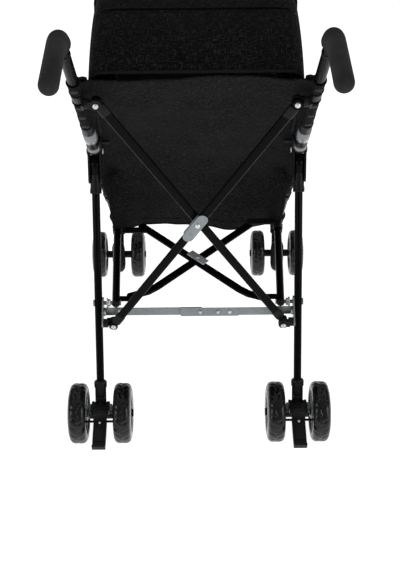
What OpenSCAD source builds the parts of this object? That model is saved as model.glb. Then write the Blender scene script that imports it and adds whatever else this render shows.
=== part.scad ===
/* [Frame] */
// Distance between the left and the right frame plane
track = 408; // [400:1:420]
// Outside diameter of the push tubes
push_d = 19; // [18:0.5:20]
// Outside diameter of the rear legs
leg_d = 16; // [15:0.5:16]
// Outside diameter of the seat tubes
seat_d = 16; // [15:0.5:16]
// Wall thickness of all round tubes
tube_wall = 1.4; // [1.2:0.1:1.6]
// Length of the straight push tube above the leg hinge
push_top = 500; // [480:5:520]
// Height of the leg hinge above the floor
hinge_z = 553; // [550:1:556]
// Distance of the leg hinge ahead of the rear axle
hinge_y = 228; // [226:1:230]

/* [Wheels] */
// Diameter of the rear tyres
rear_wheel_d = 125; // [120:1:126]
// Width of the rear tyres
rear_tyre_w = 35; // [30:1:36]
// Distance between the two rear tyres of one pair, centre to centre
rear_pair = 91; // [89:1:92]
// Diameter of the front tyres
front_wheel_d = 118; // [112:1:119]
// Width of the front tyres
front_tyre_w = 32; // [28:1:33]
// Distance between the two front tyres of one pair, centre to centre
front_pair = 98; // [96:1:99]
// Distance from the rear axle to the front axle
wheelbase = 627; // [620:1:630]
// Distance from a front axle to the swivel axis ahead of it
castor_trail = 26; // [22:1:28]

/* [Cross braces] */
// Width of the flat-oval cross tubes
cross_w = 17; // [15:0.5:18]
// Thickness of the flat-oval cross tubes
cross_t = 10; // [8:0.5:10]
// Half the distance between the lower ends of the cross tubes
cross_x = 172; // [170:1:174]
// Width of the flat-oval seat braces
brace_w = 14; // [12:0.5:14]
// Thickness of the flat-oval seat braces
brace_t = 8; // [7:0.5:8]

/* [Carrier] */
// Half the width of the fabric cabin
cabin_half = 184; // [180:1:184]
// Half the width of the pouch that hangs between the seat tubes
pouch_half = 154; // [140:1:156]
// Thickness of the fabric walls
cloth_t = 5; // [4:0.5:6]
// Outer radius of the hood
hood_r = 300; // [290:1:305]

/* [Hidden] */
$fn = 48;

// Side plane: y runs forward from the rear axle and z up from the floor, until origin_y is taken off.
half_track = track / 2;
rear_r = rear_wheel_d / 2;
front_r = front_wheel_d / 2;
push_r = push_d / 2;
leg_r = leg_d / 2;
seat_r = seat_d / 2;
slip = 0.1;
running = 0.06;
pin_r = 4;
axle_r = 5;

// Push tube: straight through the leg hinge at 45 degrees, then a bend into the handle
push_lean = 45;
push_low = 570;
bend_r = 60;
bend_a = 55;
grip_straight = 105;
grip_r = 15;
handle_end_y = hinge_y - push_top * sin(push_lean) - bend_r * cos(push_lean)
  + bend_r * cos(push_lean + bend_a) - grip_straight * sin(push_lean + bend_a);
front_end_y = wheelbase + front_r;
origin_y = (front_end_y + handle_end_y - grip_r) / 2;

// Rear leg: from the axle to the hinge
leg_len = norm([hinge_y, hinge_z - rear_r]);
leg_lean = atan(hinge_y / (hinge_z - rear_r));
leg_top_gap = 44;

// Points on the leg bracket
seat_pin_y = 98;
seat_pin_z = rear_r + seat_pin_y / tan(leg_lean);
cross_low_y = 64;
cross_low_z = 247;
bar_y = 81.4;
bar_z = 262;
bar_lean = 11;
bar_end_x = 160;
bar_pivot_x = 4;

// Cross tubes: their plane runs from the lower to the upper pivots
cross_up_y = 10;
cross_up_z = 750;
cross_rise = norm([cross_up_y - cross_low_y, cross_up_z - cross_low_z]);
cross_lean = atan((cross_low_y - cross_up_y) / (cross_up_z - cross_low_z));
cross_len = norm([cross_rise, 2 * cross_x]);
cross_angle = atan(cross_rise / (2 * cross_x));
cross_layer = 1 + cross_t / 2;
eye_r = 9;
knuckle_x = 183;
plate_x = 193;

// Seat tubes and the braces between them
seat_rise = 7.6;
seat_splay = 2.4;
seat_len = 405;
seat_x = 168.4;
brace_centre = 131;
brace_rear_t = 14;
brace_rear_x = 142;
brace_bend_x = 97;
brace_slope = 45.6;
brace_front = 169.4;
brace_layer = 0.3 + brace_t / 2;

// Carrier profile
hood_pivot_y = 190;
hood_pivot_z = hinge_z + hinge_y - hood_pivot_y;
back_gap = 5;
side_back_y = 463;
side_back_z = 332;
lip_y = 668;
lip_z = 415;
side_front_z = 362;
pouch_back_y = 418;
pouch_back_z = 278;
pouch_front_y = 646;
pouch_front_z = 318;
pouch_join_y = 332;
pouch_join_z = 456;
hood_front_a = 15;
hood_split_a = 72;
hood_back_a = 131;
gore_gap = 0.8;

// ---------- helpers ----------

// Puts children at a point of the side plane; a positive lean tips them backwards
module place(x, y, z, lean = 0) {
  translate([x, y - origin_y, z]) rotate([lean, 0, 0]) children();
}

// Draws children on the right side, or mirrored on the left
module on_side(side) {
  if (side > 0) children();
  else mirror([1, 0, 0]) children();
}

// A cylinder along X, centred
module cross_pin(r, len) {
  rotate([0, 90, 0]) cylinder(r = r, h = len, center = true);
}

// A cylinder along X between two values of x
module x_rod(r, x0, x1) {
  translate([x0, 0, 0]) rotate([0, 90, 0]) cylinder(r = r, h = x1 - x0);
}

// A round hollow tube along +Z
module pipe(r, len) {
  difference() {
    cylinder(r = r, h = len);
    translate([0, 0, -1]) cylinder(r = r - tube_wall, h = len + 2);
  }
}

// A solid bend that starts at the origin along +Z and turns towards -Y
module bend(radius, angle, r) {
  translate([0, -radius, 0]) rotate([90, 0, 90])
    rotate_extrude(angle = angle, $fn = 96) translate([radius, 0]) circle(r = r);
}

// Moves children to the far end of such a bend
module after_bend(radius, angle) {
  translate([0, -radius, 0]) rotate([angle, 0, 0]) translate([0, radius, 0]) children();
}

// Flat-oval bar along +Z, its width along X and its thickness along Y
module oval_bar(w, t, len) {
  linear_extrude(len) {
    square([w - t, t], center = true);
    for (s = [-1, 1]) translate([s * (w - t) / 2, 0]) circle(d = t);
  }
}

// A rivet head, low and round, on the XY plane
module rivet_head(r, h) {
  cylinder(r1 = r, r2 = r * 0.72, h = h);
}

// Solid path of the handle above the straight tube
module handle_path(r) {
  bend(bend_r, bend_a, r);
  after_bend(bend_r, bend_a) cylinder(r = r, h = grip_straight);
}

// ---------- push frame ----------

module push_tube(side) {
  color("#15161a") place(side * half_track, hinge_y, hinge_z, push_lean) difference() {
    union() {
      translate([0, 0, -push_low]) cylinder(r = push_r, h = push_low + push_top);
      translate([0, 0, push_top]) handle_path(push_r);
    }
    translate([0, 0, -push_low - 1]) cylinder(r = push_r - tube_wall, h = push_low + push_top + 1.001);
    translate([0, 0, push_top]) bend(bend_r, bend_a, push_r - tube_wall);
    translate([0, 0, push_top]) after_bend(bend_r, bend_a)
      cylinder(r = push_r - tube_wall, h = grip_straight + 1);
    cross_pin(pin_r + running, push_d + 4);
  }
}

module handle_grip(side) {
  color("#24242a") place(side * half_track, hinge_y, hinge_z, push_lean)
    translate([0, 0, push_top]) difference() {
      union() {
        handle_path(grip_r);
        after_bend(bend_r, bend_a) translate([0, 0, grip_straight]) sphere(r = grip_r);
      }
      translate([0, 0, -0.01]) handle_path(push_r + slip);
    }
}

// Distance of a point of the side plane along the push tube above the hinge, and behind it
function along_push(y, z) = (hinge_y - y) * sin(push_lean) + (z - hinge_z) * cos(push_lean);
function ahead_push(y, z) = (y - hinge_y) * cos(push_lean) + (z - hinge_z) * sin(push_lean);

// Ring that is moulded round the push tube
module tube_ring(r, len) {
  difference() {
    translate([0, 0, -len / 2]) cylinder(r = r, h = len);
    translate([0, 0, -len / 2 - 1]) cylinder(r = push_r + slip, h = len + 2);
  }
}

// Upper cross bracket, hood pivot and open saddle for the seat tube, all on one push tube
module tube_clips(side) {
  up_d = along_push(cross_up_y, cross_up_z);
  up_p = ahead_push(cross_up_y, cross_up_z);
  hood_d = along_push(hood_pivot_y, hood_pivot_z);
  rest_y = (hinge_y + hinge_z - seat_pin_z + seat_pin_y * tan(seat_rise)) / (1 + tan(seat_rise));
  rest_d = along_push(rest_y, hinge_y + hinge_z - rest_y);
  rest_t = (rest_y - seat_pin_y) / cos(seat_rise);
  rest_x = seat_x + rest_t * tan(seat_splay);
  color("#1b1c20") on_side(side) difference() {
    union() {
      place(half_track, hinge_y, hinge_z, push_lean) {
        translate([0, 0, up_d - 12]) cylinder(r = 11.4, h = 24);
        translate([-11.1, up_p - 9, up_d - 10]) cube([4, 9 - up_p, 20]);
        translate([0, up_p, up_d]) x_rod(pin_r, knuckle_x + 0.5 - half_track, -9.5);
        translate([0, 0, hood_d - 11]) cylinder(r = 11.6, h = 22);
        translate([0, 0, hood_d]) x_rod(pin_r, 170 - half_track, 0);
        translate([0, 0, rest_d - 13]) cylinder(r = 11.6, h = 26);
      }
      place(0, seat_pin_y, seat_pin_z, seat_rise) translate([rest_x - 11, rest_t - 9, -14]) cube([22, 18, 11]);
    }
    place(half_track, hinge_y, hinge_z, push_lean) translate([0, 0, -push_low]) cylinder(r = push_r + slip, h = 1000);
    along_seat_tube() cylinder(r = seat_r + 0.3, h = seat_len);
    along_seat_tube() translate([-seat_r - 0.3, -40, 0]) cube([2 * seat_r + 0.6, 40, seat_len]);
  }
}

// ---------- front castors ----------

stem_y = wheelbase + castor_trail;
castor_gap = 0.3;
fork_top_z = 119.7;
fork_arm_w = 24;

module castor_socket(side) {
  color("#1b1c20") difference() {
    union() {
      place(side * half_track, hinge_y, hinge_z, push_lean) {
        translate([0, 0, -push_low]) cylinder(r = 13.5, h = 66);
        translate([0, 0, -push_low]) sphere(r = 13.5);
        translate([0, 0, -push_low + 60]) cylinder(r = 15, h = 10);
      }
      place(side * half_track, stem_y, fork_top_z + castor_gap) cylinder(r = 14, h = 42);
      place(side * half_track, stem_y, fork_top_z + castor_gap) cylinder(r = 16.5, h = 8);
    }
    place(side * half_track, hinge_y, hinge_z, push_lean)
      translate([0, 0, -push_low - 0.01]) cylinder(r = push_r + slip, h = 90);
    place(side * half_track, stem_y, fork_top_z) translate([0, 0, -1]) cylinder(r = 6 + running, h = 38);
  }
}

module castor_fork(side) {
  color("#1d1e22") difference() {
    union() {
      place(side * half_track, stem_y, fork_top_z - 11.7) cylinder(r = 16, h = 11.7);
      place(side * half_track, stem_y, fork_top_z - 5) cylinder(r = 6, h = 40);
      hull() {
        place(side * half_track, stem_y, fork_top_z - 16) cylinder(r = 12, h = 8, $fn = 32);
        place(side * half_track, wheelbase, front_r) cross_pin(14, fork_arm_w, $fn = 32);
      }
      place(side * half_track, wheelbase, front_r)
        cross_pin(9, front_pair - front_tyre_w - 1.2);
    }
    place(side * half_track, wheelbase, front_r) cross_pin(axle_r + slip / 2, 120);
  }
}

module front_axle(side) {
  half_len = front_pair / 2 + front_tyre_w / 2;
  color("#b9bcc0") place(side * half_track, wheelbase, front_r) {
    cross_pin(axle_r, 2 * half_len + 6);
    for (s = [-1, 1]) translate([s * (half_len + 2.4), 0, 0]) cross_pin(8, 4);
  }
}

// ---------- wheels ----------

// Half outline of a tyre in radius and width, with round shoulders
function shoulder(r, w, c, side) = [
  for (a = [0:15:90]) [r - c + c * sin(side > 0 ? 90 - a : a), side * (w / 2 - c + c * cos(side > 0 ? 90 - a : a))]
];

module tyre(r, w, r_in) {
  corner = w * 0.3;
  points = concat([[r_in, -w / 2 + 3]], [[r_in + 4, -w / 2]], shoulder(r, w, corner, -1),
    shoulder(r, w, corner, 1), [[r_in + 4, w / 2]], [[r_in, w / 2 - 3]]);
  color("#1a1a1c") rotate([0, 90, 0]) rotate_extrude($fn = 96) polygon(points);
}

module rim(r, w, toothed) {
  ring = 5;
  color("#8d9094") difference() {
    union() {
      cross_pin(12, w - 1);
      cross_pin(r - ring + 1, 7);
      difference() {
        cross_pin(r - 0.05, w - 8);
        cross_pin(r - ring, w);
      }
      if (toothed > 0) on_side(-toothed) brake_teeth(w);
    }
    cross_pin(axle_r + running, w + 2);
    for (i = [0:5]) rotate([i * 60, 0, 0]) translate([0, 0, (r - ring + 14) / 2]) cross_pin(6.5, 20);
  }
}

// Ring of stop teeth on the inner face of a rear rim
module brake_teeth(w) {
  teeth = 12;
  difference() {
    x_rod(21, 3, w / 2 - 0.5);
    for (i = [0:teeth - 1]) rotate([i * 360 / teeth, 0, 0]) translate([8, 16, -3.6]) cube([w, 10, 7.2]);
  }
}

module front_tyre(x) {
  place(x, wheelbase, front_r) tyre(front_r, front_tyre_w, front_r - 18);
}

module front_rim(x) {
  place(x, wheelbase, front_r) rim(front_r - 18, front_tyre_w, 0);
}

module rear_tyre(x) {
  place(x, 0, rear_r) tyre(rear_r, rear_tyre_w, rear_r - 19);
}

module rear_rim(x, inward) {
  color("#8d9094") place(x, 0, rear_r) on_side(inward) rim(rear_r - 19, rear_tyre_w, 1);
}

// ---------- rear legs ----------

module rear_leg(side) {
  color("#15161a") difference() {
    place(side * half_track, 0, rear_r, -leg_lean)
      translate([0, 0, 34]) pipe(leg_r, leg_len - leg_top_gap - 4 - 34);
    place(side * half_track, seat_pin_y, seat_pin_z) cross_pin(pin_r + slip, leg_d + 4);
  }
}

module leg_top_joint(side) {
  color("#1d1e22") place(side * half_track, hinge_y, hinge_z, -leg_lean) {
    difference() {
      translate([0, 0, -leg_top_gap - 36]) cylinder(r1 = 12, r2 = 11.3, h = 6);
      translate([0, 0, -leg_top_gap - 37]) cylinder(r = leg_r + slip, h = 20);
    }
    difference() {
      union() {
        translate([0, 0, -leg_top_gap - 32]) cylinder(r = 10.8, h = 32);
        for (s = [-1, 1]) hull() {
          translate([s * 11.8, 0, 0]) cross_pin(16, 3.6, $fn = 32);
          translate([s * 11.8, 0, -leg_top_gap - 10]) cross_pin(11, 3.6, $fn = 32);
        }
      }
      translate([0, 0, -leg_top_gap - 50]) cylinder(r = leg_r + slip, h = 46);
    }
    cross_pin(pin_r, 2 * 13.6);
    for (s = [-1, 1]) translate([s * 14.5, 0, 0]) cross_pin(7.5, 1.8);
  }
}

pedal_y = -24;
pedal_z = 84;
stop_y = -26.5;
pedal_half = 13.5;

module axle_housing(side) {
  color("#1d1e22") difference() {
    union() {
      place(side * half_track, 0, rear_r) cross_pin(12, 48);
      place(side * half_track, 0, rear_r) cross_pin(9, rear_pair - rear_tyre_w - 0.6);
      place(side * half_track, 0, rear_r, -leg_lean) {
        cylinder(r = 11.5, h = 64);
        translate([0, 0, 56]) cylinder(r = 13, h = 8);
      }
      for (s = [-1, 1]) hull() {
        place(side * half_track + s * 16.4, 6, 78) cross_pin(9, 4, $fn = 32);
        place(side * half_track + s * 16.4, pedal_y, pedal_z) cross_pin(7, 4, $fn = 32);
      }
      place(side * half_track, 6, 78) cross_pin(8, 34);
      place(side * half_track, pedal_y, pedal_z) cross_pin(3, 40);
    }
    place(side * half_track, 0, rear_r) cross_pin(axle_r + slip / 2, 120);
    place(side * half_track, 0, rear_r, -leg_lean) translate([0, 0, 34]) cylinder(r = leg_r + slip, h = 60);
  }
}

module rear_axle(side) {
  half_len = rear_pair / 2 + rear_tyre_w / 2;
  color("#b9bcc0") place(side * half_track, 0, rear_r) {
    cross_pin(axle_r, 2 * half_len + 6);
    for (s = [-1, 1]) translate([s * (half_len + 2.4), 0, 0]) cross_pin(8, 4);
  }
}

// Foot lever with its steel stop pin
module brake_pedal(side) {
  color("#1b1c20") place(side * half_track, 0, 0) difference() {
    union() {
      hull() {
        translate([0, pedal_y, pedal_z]) cross_pin(7.5, 2 * pedal_half, $fn = 32);
        translate([0, stop_y, rear_r]) cross_pin(6, 2 * pedal_half, $fn = 32);
      }
      hull() {
        translate([0, stop_y, rear_r]) cross_pin(6, 2 * pedal_half, $fn = 32);
        translate([0, -84, 43]) cross_pin(4, 2 * pedal_half, $fn = 32);
      }
      hull() {
        translate([0, -84, 43]) cross_pin(4, 2 * pedal_half, $fn = 32);
        translate([0, -88, 52]) cross_pin(2.5, 2 * pedal_half, $fn = 32);
      }
      translate([0, stop_y, rear_r]) cross_pin(2.5, 67);
    }
    translate([0, pedal_y, pedal_z]) cross_pin(3 + running, 60);
  }
}

// ---------- leg brackets and knuckles ----------

module leg_bracket(side) {
  color("#aeb4b8") on_side(side) {
    difference() {
      union() {
        hull() {
          place(plate_x + 1.4, seat_pin_y, seat_pin_z) cross_pin(12, 2.8, $fn = 32);
          place(plate_x + 1.4, cross_low_y, cross_low_z) cross_pin(10, 2.8, $fn = 32);
          place(plate_x + 1.4, bar_y, bar_z - 6) cross_pin(10, 2.8, $fn = 32);
        }
        place(0, bar_y, bar_z, -bar_lean) translate([151, 3.9, -9]) cube([44, 1.6, 17]);
      }
      place(half_track, 0, rear_r, -leg_lean) cylinder(r = leg_r, h = leg_len);
    }
    place(0, seat_pin_y, seat_pin_z) {
      x_rod(pin_r, 158.6, half_track + leg_r + 1);
      x_rod(5.5, 157.8, 160);
      x_rod(7, half_track + leg_r, half_track + leg_r + 2.5);
    }
    place(0, cross_low_y, cross_low_z) x_rod(pin_r, knuckle_x + 0.5, plate_x + 1);
    place(bar_end_x, bar_y, bar_z, -bar_lean) rotate([90, 0, 0]) {
      translate([0, 0, -4.5]) cylinder(r = 3, h = side < 0 ? 4.2 : 7);
      translate([0, 0, side < 0 ? -0.8 : 2]) rivet_head(4.2, 1.4);
    }
  }
}

// Hinge barrel round the X axis with a lug for one cross tube; front and back bound the lug
module knuckle(y, z, back, front) {
  color("#1b1c20") place(0, y, z, cross_lean) difference() {
    union() {
      x_rod(9, knuckle_x, plate_x - 0.5);
      translate([cross_x, 0, 0]) rotate([-90, 0, 0]) translate([0, 0, back]) cylinder(r = 10, h = front - back);
      translate([cross_x, back, -7]) cube([knuckle_x - cross_x + 3, front - back, 14]);
    }
    x_rod(pin_r + running, knuckle_x - 3, plate_x + 1);
  }
}

// The rear layer tube ends at the left, so the left knuckle stands ahead of it
module lower_knuckle(side) {
  far = cross_layer + cross_t / 2 + 0.1;
  on_side(side) {
    if (side < 0) knuckle(cross_low_y, cross_low_z, -0.6, 9);
    else knuckle(cross_low_y, cross_low_z, -9, 0.6);
    color("#b9bcc0") place(cross_x, cross_low_y, cross_low_z, cross_lean) rotate([side < 0 ? 90 : -90, 0, 0]) {
      translate([0, 0, -11]) rivet_head(5.5, 3);
      cylinder(r = 3.2, h = far + 0.5);
      translate([0, 0, far]) rivet_head(5.5, 2);
    }
  }
}

module upper_knuckle(side) {
  on_side(side) {
    if (side > 0) knuckle(cross_up_y, cross_up_z, 0.5, 9);
    else {
      knuckle(cross_up_y, cross_up_z, -9, -0.5);
      color("#b9bcc0") place(cross_x, cross_up_y, cross_up_z, cross_lean)
        rotate([90, 0, 0]) translate([0, 0, 9]) rivet_head(5.5, 2);
    }
  }
}

// ---------- cross tubes ----------

// Middle of the cross plane, seen from behind; turn > 0 leans the tube to the right
module cross_frame(turn) {
  place(0, (cross_low_y + cross_up_y) / 2, (cross_low_z + cross_up_z) / 2, cross_lean)
    rotate([0, turn * (90 - cross_angle), 0]) children();
}

// One cross tube with round ends; depth is where its middle plane lies ahead of the pivots
module cross_tube(turn, depth) {
  color("#15161a") cross_frame(turn) translate([0, depth, 0]) {
    difference() {
      translate([0, 0, -cross_len / 2 + 8]) oval_bar(cross_w, cross_t, cross_len - 16);
      for (s = [-1, 1]) translate([0, 0, s * cross_len / 2]) rotate([90, 0, 0])
        cylinder(r = eye_r - 0.01, h = cross_t + 2, center = true);
      rotate([90, 0, 0]) cylinder(r = 3.2 + running, h = cross_t + 2, center = true);
    }
    for (s = [-1, 1]) translate([0, 0, s * cross_len / 2]) rotate([90, 0, 0]) difference() {
      cylinder(r = eye_r, h = cross_t, center = true);
      if (s < 0) cylinder(r = 3.2 + running, h = cross_t + 2, center = true);
    }
  }
}

module cross_tube_rear() {
  cross_tube(1, -cross_layer);
  color("#b9bcc0") cross_frame(1) translate([0, 0, cross_len / 2]) rotate([90, 0, 0])
    translate([0, 0, cross_layer + cross_t / 2]) rivet_head(5.5, 2);
}

module cross_tube_front() {
  cross_tube(-1, cross_layer);
}

// Zinc plate folded round the rear tube, with the centre rivet that both tubes turn on
module cross_clamp() {
  plate_len = 68;
  plate_t = 1.6;
  back = -cross_layer - cross_t / 2;
  color("#aeb4b8") {
    cross_frame(1) {
      translate([0, back - 0.1, -8]) {
        translate([0, 0, 0]) rotate([90, 0, 0]) linear_extrude(plate_t) {
          square([cross_w + 4, plate_len - 20], center = true);
          for (s = [-1, 1]) translate([0, s * (plate_len - 21) / 2]) circle(d = cross_w + 4);
        }
        for (s = [-1, 1]) translate([s * (cross_w / 2 + 1.3) - 0.7, 0, -(plate_len - 20) / 2])
          translate([0, -plate_t, 0]) cube([1.4, cross_t - 0.5, plate_len - 20]);
      }
    }
    place(0, (cross_low_y + cross_up_y) / 2, (cross_low_z + cross_up_z) / 2, cross_lean) rotate([90, 0, 0]) {
      translate([0, 0, back - 0.4]) cylinder(r = 3.2, h = -2 * back + 1.2);
      translate([0, 0, -back + 1.6]) rivet_head(6, 2.2);
      translate([0, 0, back - 1.9]) cylinder(r = 5.5, h = 1.6);
    }
  }
}

// ---------- seat frame ----------

// Seat plane: origin between the seat pins, Y forward along the tubes, Z off the plane
module seat_frame() {
  place(0, seat_pin_y, seat_pin_z, seat_rise) children();
}

module along_seat_tube() {
  seat_frame() translate([seat_x, 0, 0]) rotate([-90, 0, -seat_splay]) children();
}

module seat_tube(side) {
  tab_low = side < 0 ? -2.7 : 0;
  color("#15161a") on_side(side) {
    difference() {
      along_seat_tube() {
        translate([0, 0, -5]) pipe(seat_r, seat_len + 5);
        translate([0, 0, seat_len - 12]) cylinder(r = seat_r, h = 12);
        translate([0, 0, seat_len]) rivet_head(seat_r, 3);
      }
      seat_frame() translate([seat_x, 0, 0]) cross_pin(pin_r + running, 40);
    }
    if (side < 0) seat_frame() translate([brace_rear_x, brace_rear_t, -2.7]) {
      cylinder(r = 2.4, h = 12);
      translate([0, 0, 2.7 + 2 * brace_layer + 0.1]) rivet_head(5, 0.8);
    }
    seat_frame() difference() {
      union() {
        translate([brace_rear_x, brace_rear_t - 7, tab_low]) cube([24, 14, 2.7]);
        translate([brace_rear_x, brace_rear_t, tab_low]) cylinder(r = 7, h = 2.7);
      }
      translate([seat_x, 0, 0]) rotate([-90, 0, -seat_splay]) cylinder(r = seat_r - 0.01, h = 60);
    }
  }
}

brace_front_x = brace_front * cos(brace_slope);
brace_front_t = brace_centre + brace_front * sin(brace_slope);

// Seat brace from the rear pivot on one side, cranked, through the centre to the glider on the other
module seat_brace(turn, layer, holes) {
  bend_t = brace_centre - brace_bend_x * tan(brace_slope);
  rear = [turn * brace_rear_x, brace_rear_t];
  knee = [turn * brace_bend_x, bend_t];
  tip = [-turn * (brace_front_x + 8), brace_front_t + 8 * tan(brace_slope)];
  color("#17181c") seat_frame() translate([0, 0, layer - brace_t / 2]) linear_extrude(brace_t) difference() {
    union() {
      for (run = [[rear, knee], [knee, tip]]) {
        span = run[1] - run[0];
        translate(run[0]) rotate(atan2(span.y, span.x)) translate([0, -brace_w / 2]) square([norm(span), brace_w]);
      }
      for (p = [rear, knee, tip]) translate(p) circle(r = brace_w / 2 + 0.4);
    }
    for (h = holes) translate(h) circle(r = 2.4 + running);
  }
}

module seat_brace_upper() {
  seat_brace(-1, brace_layer, [[0, brace_centre], [-brace_rear_x, brace_rear_t]]);
}

module seat_brace_lower() {
  top = brace_layer + brace_t / 2;
  seat_brace(1, -brace_layer, []);
  color("#aeb4b8") seat_frame() translate([0, brace_centre, 0]) {
    translate([0, 0, -top - 1]) cylinder(r = 2.4, h = 2 * top + 1.5);
    translate([0, 0, top + 0.1]) rivet_head(6, 2);
    translate([0, 0, -top - 1.6]) cylinder(r = 6, h = 1.8);
  }
}

// Sleeve that slides on the seat tube, with an arm to the end of one brace
module seat_glider(side) {
  ring_len = 30;
  t = brace_front_t;
  x = seat_x + t * tan(seat_splay);
  arm_low = side > 0 ? 2 * brace_layer + 0.6 : -2 * brace_layer - 3.6;
  color("#1b1c20") on_side(side) difference() {
    union() {
      along_seat_tube() translate([0, 0, t / cos(seat_splay) - ring_len / 2]) cylinder(r = 10.4, h = ring_len);
      seat_frame() {
        translate([brace_front_x, t - 9, arm_low]) cube([x - brace_front_x - 4, 18, 3]);
        translate([brace_front_x, t, arm_low]) cylinder(r = 9, h = 3);
        translate([brace_front_x, t, side > 0 ? arm_low + 2.9 : arm_low - 1.9]) cylinder(r = 5, h = 2);
      }
    }
    along_seat_tube() cylinder(r = seat_r + 0.15, h = seat_len);
  }
}

// ---------- lock bar ----------

bar_w = 16;
bar_t = 2.5;

// Bar plane: X across, Z up the bar's width, Y ahead of the plane
module bar_frame() {
  place(0, bar_y, bar_z, -bar_lean) children();
}

// Flat strip between two values of x, with round ends; y0 is its back face
module bar_strip(x0, x1, y0, t, w) {
  translate([x0, y0, -w / 2]) cube([x1 - x0, t, w]);
  for (x = [x0, x1]) translate([x, y0 + t, 0]) rotate([90, 0, 0]) cylinder(d = w, h = t);
}

module lock_bar_left() {
  color("#8f989b") bar_frame() {
    difference() {
      bar_strip(-bar_end_x, bar_pivot_x, 0.9, bar_t, bar_w);
      translate([-bar_end_x, 0, 0]) rotate([-90, 0, 0]) cylinder(r = 3 + running, h = 8);
    }
    translate([bar_pivot_x, 0.9 + bar_t - 0.1, 0]) rotate([-90, 0, 0]) rivet_head(4.2, 1.3);
  }
}

// Right strip with the channel that stops the pair just past straight
module lock_bar_right() {
  color("#a3abae") bar_frame() difference() {
    union() {
      bar_strip(bar_pivot_x, bar_end_x, -1.9, bar_t, bar_w);
      translate([-36, -3.5, -bar_w / 2 - 1]) cube([118, 1.7, bar_w + 2]);
      translate([-36, -3.5, bar_w / 2 + 0.4]) cube([42, 4, 1.4]);
      for (x = [bar_pivot_x, 40, 64]) translate([x, -3.4, 0]) rotate([90, 0, 0]) rivet_head(4.2, 1.5);
    }
    translate([bar_end_x, -5, 0]) rotate([-90, 0, 0]) cylinder(r = 3 + running, h = 8);
  }
}

// ---------- carrier ----------

// Puts a side outline in the YZ plane, from x0 to x1; points are side-plane y and z
module slab(x0, x1, points) {
  translate([x0, -origin_y, 0]) rotate([90, 0, 90]) linear_extrude(x1 - x0) polygon(points);
}

back_sum = hinge_y + hinge_z + back_gap * sqrt(2);
hood_inner = hood_r - 8;
function on_hood(a, r) = [hood_pivot_y + r * cos(a), hood_pivot_z + r * sin(a)];

pouch_outline = [
  [pouch_back_y, pouch_back_z], [pouch_front_y, pouch_front_z], [lip_y, lip_z],
  [lip_y - 60, lip_z + 20], [pouch_join_y + 40, pouch_join_z], [pouch_join_y, pouch_join_z]
];
pouch_hollow = [
  [pouch_back_y + 7, pouch_back_z + 6], [pouch_front_y - 5, pouch_front_z + 5.5], [lip_y - 7, lip_z + 30],
  [lip_y - 60, lip_z + 60], [pouch_join_y + 60, pouch_join_z + 40], [pouch_join_y + 12, pouch_join_z + 2]
];

module carrier_shell() {
  back = [
    [back_sum - pouch_join_z, pouch_join_z], [back_sum - pouch_join_z + 7, pouch_join_z],
    [back_sum - 800 + 7, 800], [back_sum - 800, 800]
  ];
  color("#232428") {
    difference() {
      union() {
        for (s = [-1, 1]) slab(s > 0 ? cabin_half - cloth_t : -cabin_half, s > 0 ? cabin_half : -cabin_half + cloth_t,
          [[back_sum - side_back_z, side_back_z], [lip_y - 8, side_front_z], [lip_y, lip_z],
            on_hood(hood_front_a - 3, hood_inner - 5), on_hood(hood_front_a - 1.5, hood_inner - 30),
            [hood_pivot_y + 120, hood_pivot_z + 60],
            [hood_pivot_y, hood_pivot_z + 60], [back_sum - 700, 700]]);
        slab(-cabin_half, cabin_half, back);
        slab(-cabin_half, cabin_half, [
          [back_sum - side_back_z, side_back_z], [back_sum - side_back_z + 7, side_back_z],
          [back_sum - pouch_join_z + 7, pouch_join_z], [back_sum - pouch_join_z, pouch_join_z]]);
        slab(-cabin_half, cabin_half, [
          [back_sum - side_back_z, side_back_z], [lip_y - 8, side_front_z],
          [lip_y - 8, side_front_z + 5], [back_sum - side_back_z, side_back_z + 5]]);
        slab(-cabin_half, cabin_half, [
          [lip_y - 14, side_front_z], [lip_y - 8, side_front_z], [lip_y, lip_z], [lip_y - 6, lip_z]]);
      }
      slab(-pouch_half + cloth_t, pouch_half - cloth_t, [
        [pouch_back_y - 20, pouch_back_z], [lip_y - 15, pouch_front_z], [lip_y - 15, lip_z + 30],
        [pouch_join_y + 20, pouch_join_z + 2], [pouch_join_y - 20, pouch_join_z + 2]]);
      for (s = [-1, 1]) place(s * half_track, hood_pivot_y, hood_pivot_z) cross_pin(pin_r + 0.5, 80);
    }
    difference() {
      slab(-pouch_half, pouch_half, pouch_outline);
      slab(-pouch_half + cloth_t, pouch_half - cloth_t, pouch_hollow);
    }
    rear_gore();
  }
}

// Curved shell of the hood: a wall across the top with a side at each end
module gore(r, half, t) {
  corner = 30;
  difference() {
    gore_solid(r, half, corner);
    gore_solid(r - t, half - t, corner - t);
  }
}

module gore_solid(r, half, corner) {
  points = concat([[0, -half]], [for (a = [0:15:90]) [r - corner + corner * sin(a), -half + corner - corner * cos(a)]],
    [for (a = [90:-15:0]) [r - corner + corner * sin(a), half - corner + corner * cos(a)]], [[0, half]]);
  rotate([0, 90, 0]) rotate_extrude($fn = 96) polygon(points);
}

// Keeps the part of children between two angles up from straight ahead
module between_angles(a0, a1) {
  far = 500;
  intersection() {
    children();
    rotate([90, 0, 90]) linear_extrude(2 * far, center = true)
      polygon([[0, 0], far * [cos(a0), sin(a0)], far * 1.4 * [cos((a0 + a1) / 2), sin((a0 + a1) / 2)],
        far * [cos(a1), sin(a1)]]);
  }
}

module rear_gore() {
  difference() {
    place(0, hood_pivot_y, hood_pivot_z) between_angles(hood_split_a, hood_back_a)
      gore(hood_inner, cabin_half, cloth_t);
    for (s = [-1, 1]) place(s * half_track, hood_pivot_y, hood_pivot_z) cross_pin(pin_r + 0.5, 80);
  }
}

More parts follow.
